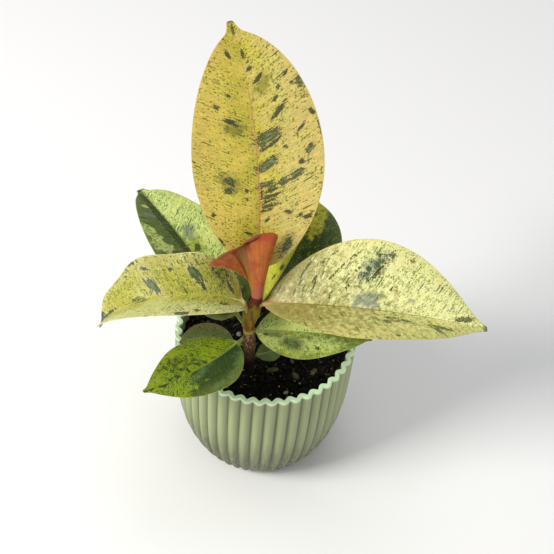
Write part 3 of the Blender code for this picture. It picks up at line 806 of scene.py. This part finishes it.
# The larger marks on each leaf, by kind: how far right of the midrib and how far from the base a mark's
# middle lies, its length and its width in mm, and the angle at which it rises outwards, towards the tip.
MARKS = {
    "upright_leaf": dict(
        dark=(
            (4, 43.5, 9.5, 4.2, 20), (4.5, 41, 9, 1.2, 30), (3, 35, 8.6, 3.2, 30), (8, 29.5, 4.4, 2.4, 40),
            (12.5, 32, 5.5, 2.4, 30), (2.5, 28.6, 6.5, 2, 12), (3.4, 26.6, 7, 1.1, 20),
            (3.8, 25, 8, 1.3, 18), (3.2, 23.4, 6.4, 1, 18), (3.4, 21.8, 6.4, 1.2, 16),
            (2.4, 20.2, 4.6, 0.9, 14), (0.8, 25.5, 5, 0.9, 90), (2.5, 17, 2.4, 1, 40),
            (9.5, 20, 2.6, 1.5, 0), (13.5, 19.5, 1.8, 1.2, 20), (15.5, 19, 3.4, 1.4, 20),
            (9.5, 9, 6, 2.6, 70), (8.5, 51, 7.4, 1.7, 42), (8, 55, 2.6, 1.1, 42), (9.5, 58, 2.4, 1, 48),
            (12.5, 61.5, 2.8, 1.1, 50), (14, 58.5, 1.8, 1.4, 40), (3.5, 61.5, 5, 1.2, 40),
            (16.5, 58.5, 4, 2.8, -60), (19, 49.5, 2.4, 1.4, -40), (21, 45, 5, 1, -80),
            (15, 45.5, 4.4, 1.1, 42), (17, 39, 4, 2.4, 50), (9.5, 40, 1.6, 1.3, 30),
            (14, 35.5, 2.6, 1.6, 50), (-7, 58, 3, 1.3, 45), (-11.5, 55, 2.4, 1.8, 50),
            (-7.5, 49.5, 6.4, 1.6, 30), (-10, 27.5, 3.2, 2, 0), (-9.5, 30.5, 5, 2.2, 40),
            (-4, 27, 1.8, 1, 50), (-4, 24, 2, 1, 30), (-15, 19.5, 1.5, 1.4, 50), (-3.5, 12.5, 2.6, 1, 20),
            (-4, 70.5, 3.4, 1.5, 70), (0.8, 70, 3.4, 1.1, 88), (1.8, 65, 2, 1.6, 30), (0, 78, 4, 1, 84),
            (-12.5, 10, 3.8, 1, 60),
        ),
        soft=((9.5, 10, 9, 4.5, 70), (-6.5, 47.5, 9, 5, 20), (-9.5, 30, 10, 6, 40), (5, 60, 9, 4, 50)),
    ),
    "right_leaf": dict(
        dark=(
            (-12.5, 36.5, 9, 1.2, 34), (-8.5, 12, 6.5, 0.8, 16), (-13, 14, 6, 0.9, 36),
            (-6.5, 16.5, 5.5, 0.8, 15), (-11.5, 19, 4, 0.9, 15), (-10.5, 22.5, 5.4, 1, 33),
            (-14, 25.5, 3.6, 0.8, 28), (-17.5, 29, 5.5, 0.8, 48), (-7, 27.5, 5, 0.7, 30),
            (-15, 19, 4, 0.8, 40), (-4, 10, 4, 0.7, 20), (-3.5, 22, 3, 0.7, 20), (-18, 22.5, 3, 0.7, 50),
            (-9.5, 16.5, 4, 0.7, 24), (-13, 30, 4, 0.7, 40), (-5.5, 13, 3, 0.7, 24),
            (-1.7, 66.5, 6.2, 1.9, 76), (6, 58, 8, 2.2, 82), (8.6, 57, 5, 1.8, 40), (8, 41, 3, 2.2, 60),
            (-7.6, 41.5, 1.6, 1.1, 50), (-17.5, 47, 1.6, 1.2, 90), (18, 44.5, 2, 1.6, 20),
        ),
        soft=((-14.5, 35, 13, 6, 38), (-2.6, 34, 11, 6.5, 86), (-4.6, 48.5, 2.2, 1.8, 45)),
        mottled=((-14, 35.5, 14, 6, 36), (-18.5, 40.5, 5, 3, 40), (5, 44, 10, 4, 80)),
        flush=((6, 0, 90, 44, 90), (-11, 4, 46, 40, 90)),
    ),
    "left_leaf": dict(
        dark=(
            (6.5, 17.5, 8, 2.7, 36), (3.2, 15, 5, 1.2, 27), (3.8, 30.8, 8.6, 2.4, 37),
            (4, 5.8, 5.2, 1.5, 36), (10, 33, 3, 1.2, 65), (9.7, 39.5, 2, 1.1, 70), (-13, 22, 4, 2.4, 90),
            (-14, 31, 1.8, 1.4, 90), (2.5, 54, 4.4, 1.4, 80), (0.8, 51, 9, 1.5, 88),
            (-10.8, 18, 2, 1.8, 70), (9, 25, 1.6, 1.2, 60), (12.5, 36.5, 2.6, 1, 90), (6, 2, 6, 1.4, 20),
            (-0.9, 53.5, 9, 1.4, 85), (-1.5, 57.5, 4, 1.6, 90), (8.5, 12.5, 1.4, 1, 30),
        ),
        soft=((1.4, 21, 5, 2.6, 60),),
        mottled=((0.3, 36, 7, 3, 85), (-5, 9, 5, 2, 70), (7, 9, 8, 6, 50)),
        flush=((8, 22, 14, 8, 70),),
    ),
    "back_left_leaf": dict(
        dark=((-1.6, 38, 30, 3.4, 90), (2.6, 26, 2.6, 2, 50), (-13, 27, 5, 2, 80)),
        soft=((3.4, 32.5, 6, 5, 80), (-6, 44, 8, 2, 20), (-12, 28, 6, 3, 60)),
        swap=(
            (-11.5, 41, 4, 3, 80), (-10, 37.5, 6, 4, 60), (-9.5, 32.5, 9, 4.4, 50),
            (-4.5, 47.5, 3, 1.3, 20), (9, 6, 18, 8, 70),
        ),
        flush=((2, 26.5, 10, 7, 90),),
    ),
    "back_right_leaf": dict(
        dark=((-3, 9, 2.2, 1.4, 90), (-2, 13.5, 2.4, 1.6, 90), (0.8, 20, 20, 2, 90)),
        soft=((14.5, 27, 12, 2.4, 90), (1.2, 13, 12, 3, 88)),
        swap=((-8, 27, 9, 8, 60),),
        flush=((2.4, 31, 13, 7, 76), (3.4, 37.5, 7, 6, 50), (-5, 13, 12, 6, 90)),
    ),
    "front_left_leaf": dict(
        dark=((2, 16.5, 3, 1.4, 40), (1, 14, 2, 1.2, 40)),
        soft=((-2.6, 19, 13, 4, 66), (-11, 9, 16, 6, 70), (-12, 18, 10, 4, 80), (-7, 3.5, 9, 7, 50)),
        mottled=((6, 22, 16, 9, 80),),
        swap=((-6.8, 31, 26, 10, 62), (-2.8, 33, 14, 4, 90)),
    ),
    "low_left_leaf": dict(soft=((1.5, 9, 6, 3, VEIN_ANGLE), (-3, 15, 5, 3, VEIN_ANGLE))),
    "low_right_leaf": dict(
        dark=((8.6, 22.5, 2.4, 1.3, 40), (2, 3.6, 2, 1.4, 40), (11.5, 8.5, 5, 1.1, 70)),
        soft=((2.2, 7, 7, 3, 80), (6.6, 14, 10, 7, 60), (3, 19, 3, 2, 80)),
        mottled=((7, 14, 8, 5, 54),),
        # The second flush, at the base, is partly painted light where the leaves above shade it.
        flush=((7, 22, 22, 12, 90), (3, 5, 22, 20, 90)),
    ),
    "small_leaf": dict(),
}
MARK_KINDS = ("dark", "heart", "mottled", "soft", "swap", "flush")
HEART_WIDTH = 1.8  # the narrowest dark mark with a paler heart


def between(pair, t):
    return pair[0] + (pair[1] - pair[0]) * t


def direction(heading, climb):
    """The unit vectors along compass headings that climb above level, in degrees. Both may be arrays."""
    heading, climb = np.radians(heading), np.radians(climb)
    flat = np.cos(climb)
    return np.stack([flat * np.cos(heading), flat * np.sin(heading), np.sin(climb) + 0 * heading], -1)


def blade_width(leaf, t):
    """Half width in mm at share t of the blade's length: an oval that runs out into the tip's taper."""
    blunt, forward = leaf["fullness"]
    oval = np.sin(np.pi * np.clip(t / leaf["oval_end"], 0, 1) ** forward) ** blunt
    end, taper = leaf["point"]
    tip = np.minimum((end + taper * leaf["length"] * (1 - t)) / leaf["half_width"], TIP_SHARE)
    joined = (oval + tip + np.hypot(oval - tip, TIP_BLEND)) / 2
    return leaf["half_width"] * np.where(t > TIP_START, joined, oval)


def leaf_spine(leaf, start, shares):
    """Centre, right-hand side and face of the blade at each share of its length."""
    steps = np.linspace(0, 1, SPINE_STEPS + 1)
    halfway = (steps[1:] + steps[:-1]) / 2
    along = direction(between(leaf["heading"], halfway), between(leaf["climb"], halfway))
    path = start + np.concatenate([np.zeros((1, 3)), np.cumsum(along, 0)]) * leaf["length"] / SPINE_STEPS
    centre = np.stack([np.interp(shares, steps, path[:, i]) for i in range(3)], -1)
    heading, climb = between(leaf["heading"], shares), between(leaf["climb"], shares)
    roll = np.radians(between(leaf["roll"], shares))[:, None]
    up, level = direction(heading, climb + 90), direction(heading - 90, 0 * heading)
    return centre, np.cos(roll) * level - np.sin(roll) * up, np.cos(roll) * up + np.sin(roll) * level


def leaf_frames(leaf):
    """Share of the blade, distance from its base, flare, spread, centre, side and face at each ring.

    The spread goes from -1 at the bark to 0 on the clear stalk, and to 1 where the blade has flattened out.
    """
    blade_rows = max(BLADE_ROWS_LEAST, round(leaf["length"] / ROW_STEP))
    even = np.linspace(0, 1, blade_rows + 1)[1:]
    shares = (1 - ROW_CROWDING) * even + ROW_CROWDING / 2 * (1 - np.cos(np.pi * even))
    out = direction(leaf["heading"][0], leaf["rise"])
    foot = np.array(stem_centre(leaf["height"]))
    centre, side, face = leaf_spine(leaf, foot + out * leaf["stalk"], shares)

    bark = stem_radius(leaf["height"]) / math.cos(math.radians(leaf["rise"]))
    stalk_rows = max(STALK_ROWS_LEAST, round(leaf["stalk"] / STALK_STEP))
    runs = np.linspace(0.0, leaf["stalk"], stalk_rows)
    flare = STALK_FLARE * np.exp(-((np.clip(runs - bark, 0, None) / FLARE_REACH) ** 2))
    bowed = np.outer((1 - runs / leaf["stalk"]) ** 2, leaf["rooted"])
    at_bark = np.clip((runs - bark) / STALK_CLEAR, 0, 1) - 1
    turn = np.linspace(0, 1, stalk_rows)[:, None]
    first_face = (1 - turn) * direction(leaf["heading"][0], leaf["rise"] + 90) + turn * face[0]
    first_side = (1 - turn) * direction(leaf["heading"][0] - 90, 0) + turn * side[0]
    return [np.concatenate(stalk_and_blade) for stalk_and_blade in (
        (0 * runs, shares),
        (runs - leaf["stalk"], leaf["length"] * shares),
        (flare, 0 * shares),
        (at_bark, np.clip(shares / SPREAD_END, 0, 1)),
        (foot + out * runs[:, None] + bowed, centre),
        (first_side / np.linalg.norm(first_side, axis=1, keepdims=True), side),
        (first_face / np.linalg.norm(first_face, axis=1, keepdims=True), face),
    )]


def leaf_surface(leaf):
    """Rings of points from the stem to the tip, with each point's distances and shares across and along.

    A ring runs over the upper face from the left margin to the right one, and back along the lower face.
    """
    t, along, flare, stage, centre, side, face = (values[:, None] for values in leaf_frames(leaf))
    spread = np.maximum(stage, 0)
    stalk = leaf["thick"] * (1 + flare)
    width = np.where(t > 0, np.maximum(blade_width(leaf, t), leaf["point"][0]), stalk)
    rib_below = stalk + (MIDRIB_END - stalk) * t**RIB_THINNING
    rib_above = stalk * np.clip(1 - t / RIDGE_END, 0, 1)

    even = np.linspace(-1, 1, FACE_STEPS + 1)[None, :]
    round_u = np.sin(np.pi / 2 * even)
    flat_u = np.sign(even) * np.sin(np.pi / 2 * np.abs(even) ** FACE_CROWDING)
    u = (1 - spread) * round_u + spread * flat_u
    across = u * width
    half = between((BLADE_MIDDLE, BLADE_EDGE), np.abs(u)) * spread * np.sqrt(1 - np.abs(u) ** EDGE_ROUND)
    below = np.maximum(half, np.sqrt(np.clip(rib_below**2 - across**2, 0, None)))
    above = np.maximum(half, np.sqrt(np.clip(rib_above**2 - across**2, 0, None)))
    groove = GROOVE_DEPTH * np.exp(-((across / GROOVE_WIDTH) ** 2))
    above = above - groove * np.clip(t / RIDGE_END, 0, 1) * (1 - t)

    on_right = across > 0
    fold = np.radians(np.where(on_right, leaf["fold"][1], leaf["fold"][0])) * spread
    height, count, begin = (np.where(on_right, right, left) for left, right in zip(*leaf["wave"]))
    wave = height * np.sin(2 * np.pi * (count * t + begin)) * np.abs(u) ** 2 * np.sin(np.pi * t) ** 0.5
    lift = np.sin(fold) * (np.sqrt(across**2 + FOLD_ROUND**2) - FOLD_ROUND) + wave
    middle = centre + (np.cos(fold) * across)[..., None] * side
    rings = [middle + (lift + above)[..., None] * face, middle + (lift - below)[..., None] * face]
    place = [np.stack([across, along + 0 * across, facing + 0 * across], -1) for facing in (1, -1)]
    share = [np.stack([u, t + 0 * u, stage + 0 * u], -1)] * 2
    return [np.concatenate([top, bottom[:, -2::-1]], 1) for top, bottom in (rings, place, share)]


def mark_depth(place, marks):
    """How deep each point lies in its nearest mark: 1 at a mark's middle, 0 on its edge, less outside."""
    depth = np.full(len(place), -1.0)
    for x, y, length, width, angle in marks:
        rise = math.radians(angle)
        way = np.array((math.copysign(math.cos(rise), x), math.sin(rise)))
        offset = place[:, :2] - (x, y)
        lengthways = np.abs(offset @ way / (length / 2))
        sideways = np.abs(offset @ np.array((-way[1], way[0])) / (width / 2))
        far = (lengthways**MARK_SQUARENESS + sideways**MARK_SQUARENESS) ** (1 / MARK_SQUARENESS)
        depth = np.maximum(depth, 1 - far)
    return depth


def kept_vectors(piece, name):
    flat = np.empty(len(piece.data.vertices) * 3, np.float32)
    piece.data.attributes[name].data.foreach_get("vector", flat)
    return flat.reshape(-1, 3)


def minus(first, second):
    return maths("SUBTRACT", first, second)


def variegation():
    """The shared look of a leaf: two grounds, marks, dashes and flecks along its veins, rib and margin."""
    group = bpy.data.node_groups.new("variegation", "ShaderNodeTree")
    grounds = ("Ground Left", "Ground Right")
    hues = ("Flush", "Dark", "Fleck", "Soft", "Heart", "Rib", "Stalk Hue", "Margin")
    crowds = ("Flecks Left", "Flecks Right", "Dashes Left", "Dashes Right")
    for way, kind, names in (
        ("INPUT", "Color", grounds + hues),
        ("INPUT", "Float", crowds + ("Flush Reach", "Tip", "Seed")),
        ("OUTPUT", "Color", ("Colour",)),
        ("OUTPUT", "Float", ("Roughness", "Height")),
    ):
        for name in names:
            group.interface.new_socket(name, in_out=way, socket_type="NodeSocket" + kind)
    given = group.nodes.new("NodeGroupInput").outputs
    result = group.nodes.new("NodeGroupOutput").inputs

    across, along, upper = apart(attribute(group, "leaf_place", 1))
    share, length, spread = apart(attribute(group, "leaf_share", 1))
    reach = maths("ABSOLUTE", across)
    vein = minus(along, times(reach, VEIN_LEAN))
    on_right = step(across, -0.2, 0.2)
    seed = times(given["Seed"], SEED_STEP)

    def along_veins(stretch):
        drawn = linear(across, 1 / stretch, seed)
        return put("CombineXYZ", {0: drawn, 1: vein, 2: seed}).outputs[0]

    skin = put("CombineXYZ", {0: across, 1: along, 2: seed}).outputs[0]
    slow = clouds(skin, 0.13, 2.0)
    middling = clouds(skin, 0.5, 3.0, 0.6)
    ragged = clouds(along_veins(3.2), 1.1, 3.0, 0.6)
    fibres = clouds(along_veins(5.0), 1.6, 2.0)
    grain = clouds(skin, 2.4, 2.0, 0.6)

    def marks(kind, edge, ragged_by, low, high):
        roughened = linear(edge, ragged_by, -ragged_by / 2)
        return step(plus(attribute(group, "mark_" + kind, 2), roughened), low, high)

    # The two grounds and the broad soft tones over them.
    swapped = marks("swap", middling, 3.0, -0.1, 0.15)
    on_right = maths("ABSOLUTE", minus(on_right, swapped))
    colour = blended(on_right, given["Ground Left"], given["Ground Right"])
    near = maths("DIVIDE", reach, maths("MAXIMUM", given["Flush Reach"], 0.01))
    flushed = times(step(near, 1.0, 0.1), step(slow, 0.25, 0.6))
    colour = blended(flushed, colour, given["Flush"])
    colour = laid_over(colour, marks("flush", middling, 3.0, -0.3, 0.8), 0.8, given["Flush"])
    colour = laid_over(colour, marks("soft", middling, 2.4, -0.3, 0.6), 0.8, given["Soft"])
    colour = laid_over(colour, step(grain, 0.48, 0.66), 0.25, given["Margin"])
    outer = step(maths("ABSOLUTE", share), 0.45, 1.0)
    colour = laid_over(colour, outer, 0.3, given["Margin"])
    texture = plus(plus(middling, fibres), linear(grain, 1.3, -0.65))
    lightness = linear(texture, 0.6, 0.4)
    hue = linear(slow, 0.05, 0.475)
    colour = put("HueSaturation", {"Hue": hue, "Value": lightness, "Color": colour}).outputs[0]

    # Small spots, most of them where the noise is high.
    crowded = plus(linear(slow, 4.0, -2.0), linear(middling, 4.0, -1.0))

    def spots(kind, stretch, per_mm, widest):
        """Separate spots drawn out along the veins, on a share of the cells of a loose net."""
        sockets = {"Vector": along_veins(stretch), "Scale": per_mm}
        cells = put("TexVoronoi", sockets, voronoi_dimensions="2D").outputs
        chance, size, _ = put("SeparateColor", {0: cells["Color"]}).outputs
        wanted = put("Mix", {0: on_right, 2: given[kind + " Left"], 3: given[kind + " Right"]}).outputs[0]
        wanted = times(wanted, crowded)
        held = step(minus(wanted, chance), 0.0, 0.04)
        edge = plus(linear(size, widest, 0.08), linear(grain, 0.8, -0.4))
        spot = step(minus(edge, cells["Distance"]), 0.0, 0.1)
        return times(held, spot), size

    for kind, stretch, per_mm, widest, tint in (
        ("Flecks", 1.8, 1.9, 0.45, "Fleck"),
        ("Flecks", 1.6, 1.1, 0.2, "Fleck"),
        ("Dashes", 9.0, 1.7, 0.35, "Dark"),
    ):
        spot, size = spots(kind, stretch, per_mm, widest)
        colour = laid_over(colour, spot, linear(size, 0.5, 0.35), given[tint])

    # The larger marks, with a paler heart in the wide ones.
    speckle = plus(maths("MINIMUM", attribute(group, "mark_mottled", 2), 0.45), -0.2)
    speckle = plus(speckle, linear(plus(grain, middling), 3.0, -3.0))
    colour = laid_over(colour, step(speckle, 0.0, 0.25), 0.85, given["Dark"])
    brushed = linear(plus(ragged, plus(fibres, grain)), 0.5, -0.25)
    dark = marks("dark", brushed, 3.6, -0.05, 0.15)
    halo = marks("dark", middling, 1.0, -0.5, 0.0)
    scratches = step(plus(fibres, linear(grain, 0.5, -0.25)), 0.46, 0.56)
    heart = times(marks("heart", brushed, 3.6, 0.45, 0.7), linear(scratches, 0.85, 0.05))
    colour = laid_over(colour, halo, 0.3, given["Margin"])
    colour = laid_over(colour, dark, 0.88, given["Dark"])
    colour = laid_over(colour, heart, 0.8, given["Heart"])

    # The margin, the midrib and its stalk, the paler underside and the tip.
    outside = minus(maths("DIVIDE", 1.0, maths("ABSOLUTE", share)), 1.0)
    rim = step(times(outside, reach), 0.4, 0.2)
    colour = laid_over(colour, rim, 0.6, given["Margin"])
    taper = maths("MAXIMUM", linear(length, -1.0, 1.05), 0.15)
    on_rib = step(maths("DIVIDE", reach, taper), 0.5, 0.2)
    on_rib = maths("MAXIMUM", on_rib, step(spread, 1.0, 0.3))
    rib = blended(step(length, 0.15, 0.02), given["Rib"], given["Stalk Hue"])
    rib = blended(step(spread, -0.2, -0.9), rib, NODE_BROWN)
    colour = laid_over(colour, on_rib, 0.8, rib)
    colour = laid_over(colour, step(upper, 0.1, -0.1), 0.45, PALE_GREEN)
    at_tip = step(length, given["Tip"], plus(given["Tip"], 0.015))
    colour = laid_over(colour, at_tip, 0.75, given["Dark"])

    ridges = maths("COSINE", times(vein, 2 * math.pi / VEIN_SPACING))
    height = plus(times(ridges, 0.25), times(grain, 0.4))
    group.links.new(colour, result["Colour"])
    group.links.new(linear(middling, 0.22, 0.30), result["Roughness"])
    group.links.new(height, result["Height"])
    return group


leaf_look = variegation()


def leaf_skin(name, leaf):
    """Waxy leaf skin with a soft sheen and some light coming through it."""
    material, tree, shader = new_material(
        name, subsurface_weight=0.15, subsurface_radius=(0.8, 1.0, 0.25), subsurface_scale=0.6 * MM,
        specular_ior_level=0.28,
    )
    values = dict(leaf)
    for pair in ("ground", "flecks", "dashes"):
        values[pair + "_left"], values[pair + "_right"] = leaf[pair]
    look = put("Group", {}, tree, node_tree=leaf_look)
    for socket in look.inputs:
        socket.default_value = values[socket.name.lower().replace(" ", "_")]
    dress(shader, look.outputs["Height"], 0.12, look.outputs["Colour"], look.outputs["Roughness"])
    return material


for number, (node, own) in enumerate(LEAVES.items(), start=1):
    leaf = LEAF | own | dict(seed=number)
    rings, place, share = leaf_surface(leaf)
    blade = skin_through(node + "_blade", rings)
    keep(blade, "leaf_place", place.reshape(-1, 3))
    keep(blade, "leaf_share", share.reshape(-1, 3))
    seal(blade)
    place = kept_vectors(blade, "leaf_place")
    marks = dict(MARKS[node])
    marks["heart"] = [mark for mark in marks.get("dark", ()) if mark[3] >= HEART_WIDTH]
    for kind in MARK_KINDS:
        keep(blade, "mark_" + kind, mark_depth(place, marks.get(kind, ())))
    blade.data.materials.append(leaf_skin(node + "_skin", leaf))
    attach(blade, "root")
    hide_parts(node)

# Young leaf -----------------------------------------------
# The newest leaf is still half rolled and coppery red. It's a thin sheet through five ribs that leave the
# stem's tip as a shut tube and fan out. Past the crease on its fourth rib, a left flap stands out.

YOUNG_FOOT = 92.6
YOUNG_FOOT_RADIUS = 1.65
YOUNG_SHUT = 0.1  # share of the leaf that is still rolled shut
YOUNG_OPENING = 1.15
# Each rib leaves the rolled foot at a turn in degrees and ends at a point of the rim, in mm from the foot.
# Its arch is how much sooner it climbs than it spreads.
YOUNG_RIBS = (
    dict(turn=110, rim=(0.5, 7.8, 16.0), arch=0.1),
    dict(turn=-4, rim=(4.5, 6.4, 24.8), arch=0.15),
    dict(turn=-88, rim=(-2.6, 5.0, 24.0), arch=0.15),
    dict(turn=-165, rim=(-8.5, 1.9, 17.3), arch=0.15),
    dict(turn=-225, rim=(-17.1, -5.8, 18.8), arch=0.75),
)
YOUNG_CREASE = 3  # the rib that the sheet is creased along
FLAP_BULGE = 3.2
YOUNG_ROWS = 34
YOUNG_BETWEEN = 10  # points from one rib to the next
YOUNG_THICKNESS = 0.5
FOOT_SWELL = 0.8  # how much thicker the sheet is at its foot
FOOT_REACH = 0.1
TERRACOTTA = display(202, 114, 44)
CRIMSON = display(176, 70, 34)
OLIVE_HIGHLIGHT = display(168, 116, 40)
PINK = display(176, 96, 72)
SHEATH_BROWN = display(84, 38, 26)


def young_sheet():
    """Points over the sheet, on lines from the rolled foot to the rim. Some of the lines are the ribs."""
    at = np.linspace(0, len(YOUNG_RIBS) - 1, YOUNG_BETWEEN * (len(YOUNG_RIBS) - 1) + 1)
    past = np.clip(at - YOUNG_CREASE, 0, 1)

    def spread(values):
        """A value for each line: a smooth curve through the ribs up to the crease, then a straight run."""
        rolled = np.polyval(np.polyfit(range(YOUNG_CREASE + 1), values[:-1], YOUNG_CREASE), at)
        flap = values[-2] + (values[-1] - values[-2]) * past
        return np.where(at < YOUNG_CREASE, rolled, flap)[:, None]

    turn = np.radians(spread([rib["turn"] for rib in YOUNG_RIBS]))
    arch = spread([rib["arch"] for rib in YOUNG_RIBS])
    x, y, z = (spread([rib["rim"][axis] for rib in YOUNG_RIBS]) for axis in range(3))
    z = z + FLAP_BULGE * np.sin(np.pi * past**0.5)[:, None]
    up = np.linspace(0, 1, YOUNG_ROWS)[None, :]
    opened = (np.clip(up - YOUNG_SHUT, 0, 1) / (1 - YOUNG_SHUT)) ** YOUNG_OPENING
    places = (
        YOUNG_FOOT_RADIUS * np.cos(turn) * (1 - opened) + x * opened,
        YOUNG_FOOT_RADIUS * np.sin(turn) * (1 - opened) + y * opened,
        z * ((1 + arch) * up - arch * up**2),
    )
    return np.array(stem_centre(YOUNG_FOOT)) + np.stack(places, -1)


def coppery_skin():
    """Fresh glossy red-brown leaf: crimson streaks, a pink foot and a dark sheath, with a painted highlight
    in an olive band beside the crease and painted shade along the crease.
    """
    material, tree, shader = new_material(
        "coppery_leaf", subsurface_weight=0.25, subsurface_radius=(1.0, 0.35, 0.15),
        subsurface_scale=0.8 * MM, coat_weight=0.1, coat_roughness=0.25, specular_ior_level=0.35,
    )
    # over counts the ribs from 0 to 4, and along runs from 0 at the foot to 1 at the rim.
    spot = attribute(tree, "young_place", 1)
    over, along, _ = apart(spot)
    streaks = clouds(stretched(spot, (5.0, 1.6, 1.0)), 1.6, 4.0, 0.6)
    blots = clouds(place_in_mm(tree), 0.3, 2.0)
    top = times(step(along, 0.75, 0.95), step(over, 2.4, 1.7))
    # Painted highlight: an olive band beside the crease, where light falls on the sheet.
    lit = times(step(over, 2.2, 2.6), step(over, 3.0, 2.94))
    # Painted shade: a dark line along the crease.
    crease = step(maths("ABSOLUTE", minus(over, YOUNG_CREASE + 0.03)), 0.1, 0.03)
    colour = TERRACOTTA
    for mask, strength, tint in (
        (step(blots, 0.45, 0.65), 0.7, CRIMSON),
        (top, 0.7, CRIMSON),
        (lit, 0.75, OLIVE_HIGHLIGHT),
        (times(crease, step(along, 1.0, 0.8)), 0.75, SHEATH_BROWN),
        (step(streaks, 0.35, 0.7), 0.4, SHEATH_BROWN),
        (step(along, 0.965, 0.99), 0.5, SHEATH_BROWN),
        (step(along, 0.3, 0.12), 0.85, PINK),
        (step(along, 0.05, 0.03), 1.0, SHEATH_BROWN),
    ):
        colour = laid_over(colour, mask, strength, tint)
    dress(shader, streaks, 0.1, colour, linear(streaks, 0.25, 0.28))
    return material


def wrapped(front, back):
    """A ring for each row: over the front, home along the back, and on to the ring's first point."""
    return np.concatenate([front, back[::-1], front[:1]]).swapaxes(0, 1)


sheet = young_sheet()
facing = np.cross(np.gradient(sheet, axis=0), np.gradient(sheet, axis=1))
facing /= np.linalg.norm(facing, axis=2, keepdims=True)
over = np.arange(sheet.shape[0])[:, None] / YOUNG_BETWEEN + np.zeros(sheet.shape[:2])
along = np.linspace(0, 1, YOUNG_ROWS)[None, :] + np.zeros(sheet.shape[:2])
swell = YOUNG_THICKNESS / 2 * (1 + FOOT_SWELL * np.exp(-along / FOOT_REACH))[..., None]
spot = np.stack([over, along, 0 * over], -1)
young = skin_through("coppery_young_leaf", wrapped(sheet + facing * swell, sheet - facing * swell))
keep(young, "young_place", wrapped(spot, spot).reshape(-1, 3))
seal(young)
young.data.materials.append(coppery_skin())
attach(young, "root")
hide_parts("new_leaf")

# Stage ----------------------------------------------------
# The plant stands on a plain pale floor in the soft light of a big window-like softbox on its left, a
# fainter one on its right and a lamp overhead. The camera looks down on it from the front, a little tilted.

AIM = Vector((0.0, 0.0, 60.0)) * MM
CAMERA_DISTANCE = 380.0 * MM
CAMERA_ELEVATION = math.radians(47.8)
CAMERA_ROLL = math.radians(5.3)
CAMERA_SLIDE = Vector((3.9, 19.1)) * MM  # to the camera's right, and up
CAMERA_LENS = 67.7
FLOOR_SIZE = 6.0
FLOOR_DROP = 0.1 * MM  # under the foot, so that the two faces don't flicker
FLOOR_WHITE = display(250, 249, 247)
ROOM_LIGHT = (0.93, 0.95, 1.0, 1.0)
ROOM_STRENGTH = 0.40


def add_softbox(name, place, size, watts, colour):
    """A square area lamp that faces the plant."""
    lamp = bpy.data.lights.new(name, "AREA")
    lamp.size = size
    lamp.energy = watts
    lamp.color = colour
    holder = bpy.data.objects.new(name, lamp)
    bpy.context.scene.collection.objects.link(holder)
    holder.location = place
    holder.rotation_euler = (AIM - Vector(place)).to_track_quat("-Z", "Y").to_euler()


bpy.ops.object.select_all(action="DESELECT")
bpy.ops.mesh.primitive_plane_add(size=FLOOR_SIZE, location=(0, 0, -FLOOR_DROP))
floor = bpy.context.object
floor.name = "floor"
floor_paint, _, floor_shader = new_material("floor_paint", roughness=0.85)
floor_shader.inputs["Base Color"].default_value = FLOOR_WHITE
floor.data.materials.append(floor_paint)

add_softbox("window", (-0.8, -0.4, 0.75), 0.4, 11.5, (1.0, 0.985, 0.955))
add_softbox("fill", (0.9, -0.35, 0.45), 0.8, 1.2, (0.95, 0.97, 1.0))
add_softbox("overhead", (0.05, 0.25, 1.1), 0.6, 2.0, (1.0, 1.0, 1.0))

room = bpy.data.worlds.new("room")
room.use_nodes = True
room.node_tree.nodes["Background"].inputs["Color"].default_value = ROOM_LIGHT
room.node_tree.nodes["Background"].inputs["Strength"].default_value = ROOM_STRENGTH
bpy.context.scene.world = room
bpy.context.scene.view_settings.view_transform = "Standard"

back = Vector((0.0, -math.cos(CAMERA_ELEVATION), math.sin(CAMERA_ELEVATION)))
level_right = Vector((1.0, 0.0, 0.0))
upward = back.cross(level_right)
right = math.cos(CAMERA_ROLL) * level_right + math.sin(CAMERA_ROLL) * upward
upward = back.cross(right)
eye = AIM + CAMERA_DISTANCE * back + CAMERA_SLIDE.x * right + CAMERA_SLIDE.y * upward
camera = bpy.data.objects.new("camera", bpy.data.cameras.new("camera"))
bpy.context.scene.collection.objects.link(camera)
camera.matrix_world = Matrix((
    (right.x, upward.x, back.x, eye.x),
    (right.y, upward.y, back.y, eye.y),
    (right.z, upward.z, back.z, eye.z),
    (0.0, 0.0, 0.0, 1.0),
))
camera.data.lens = CAMERA_LENS
bpy.context.scene.camera = camera
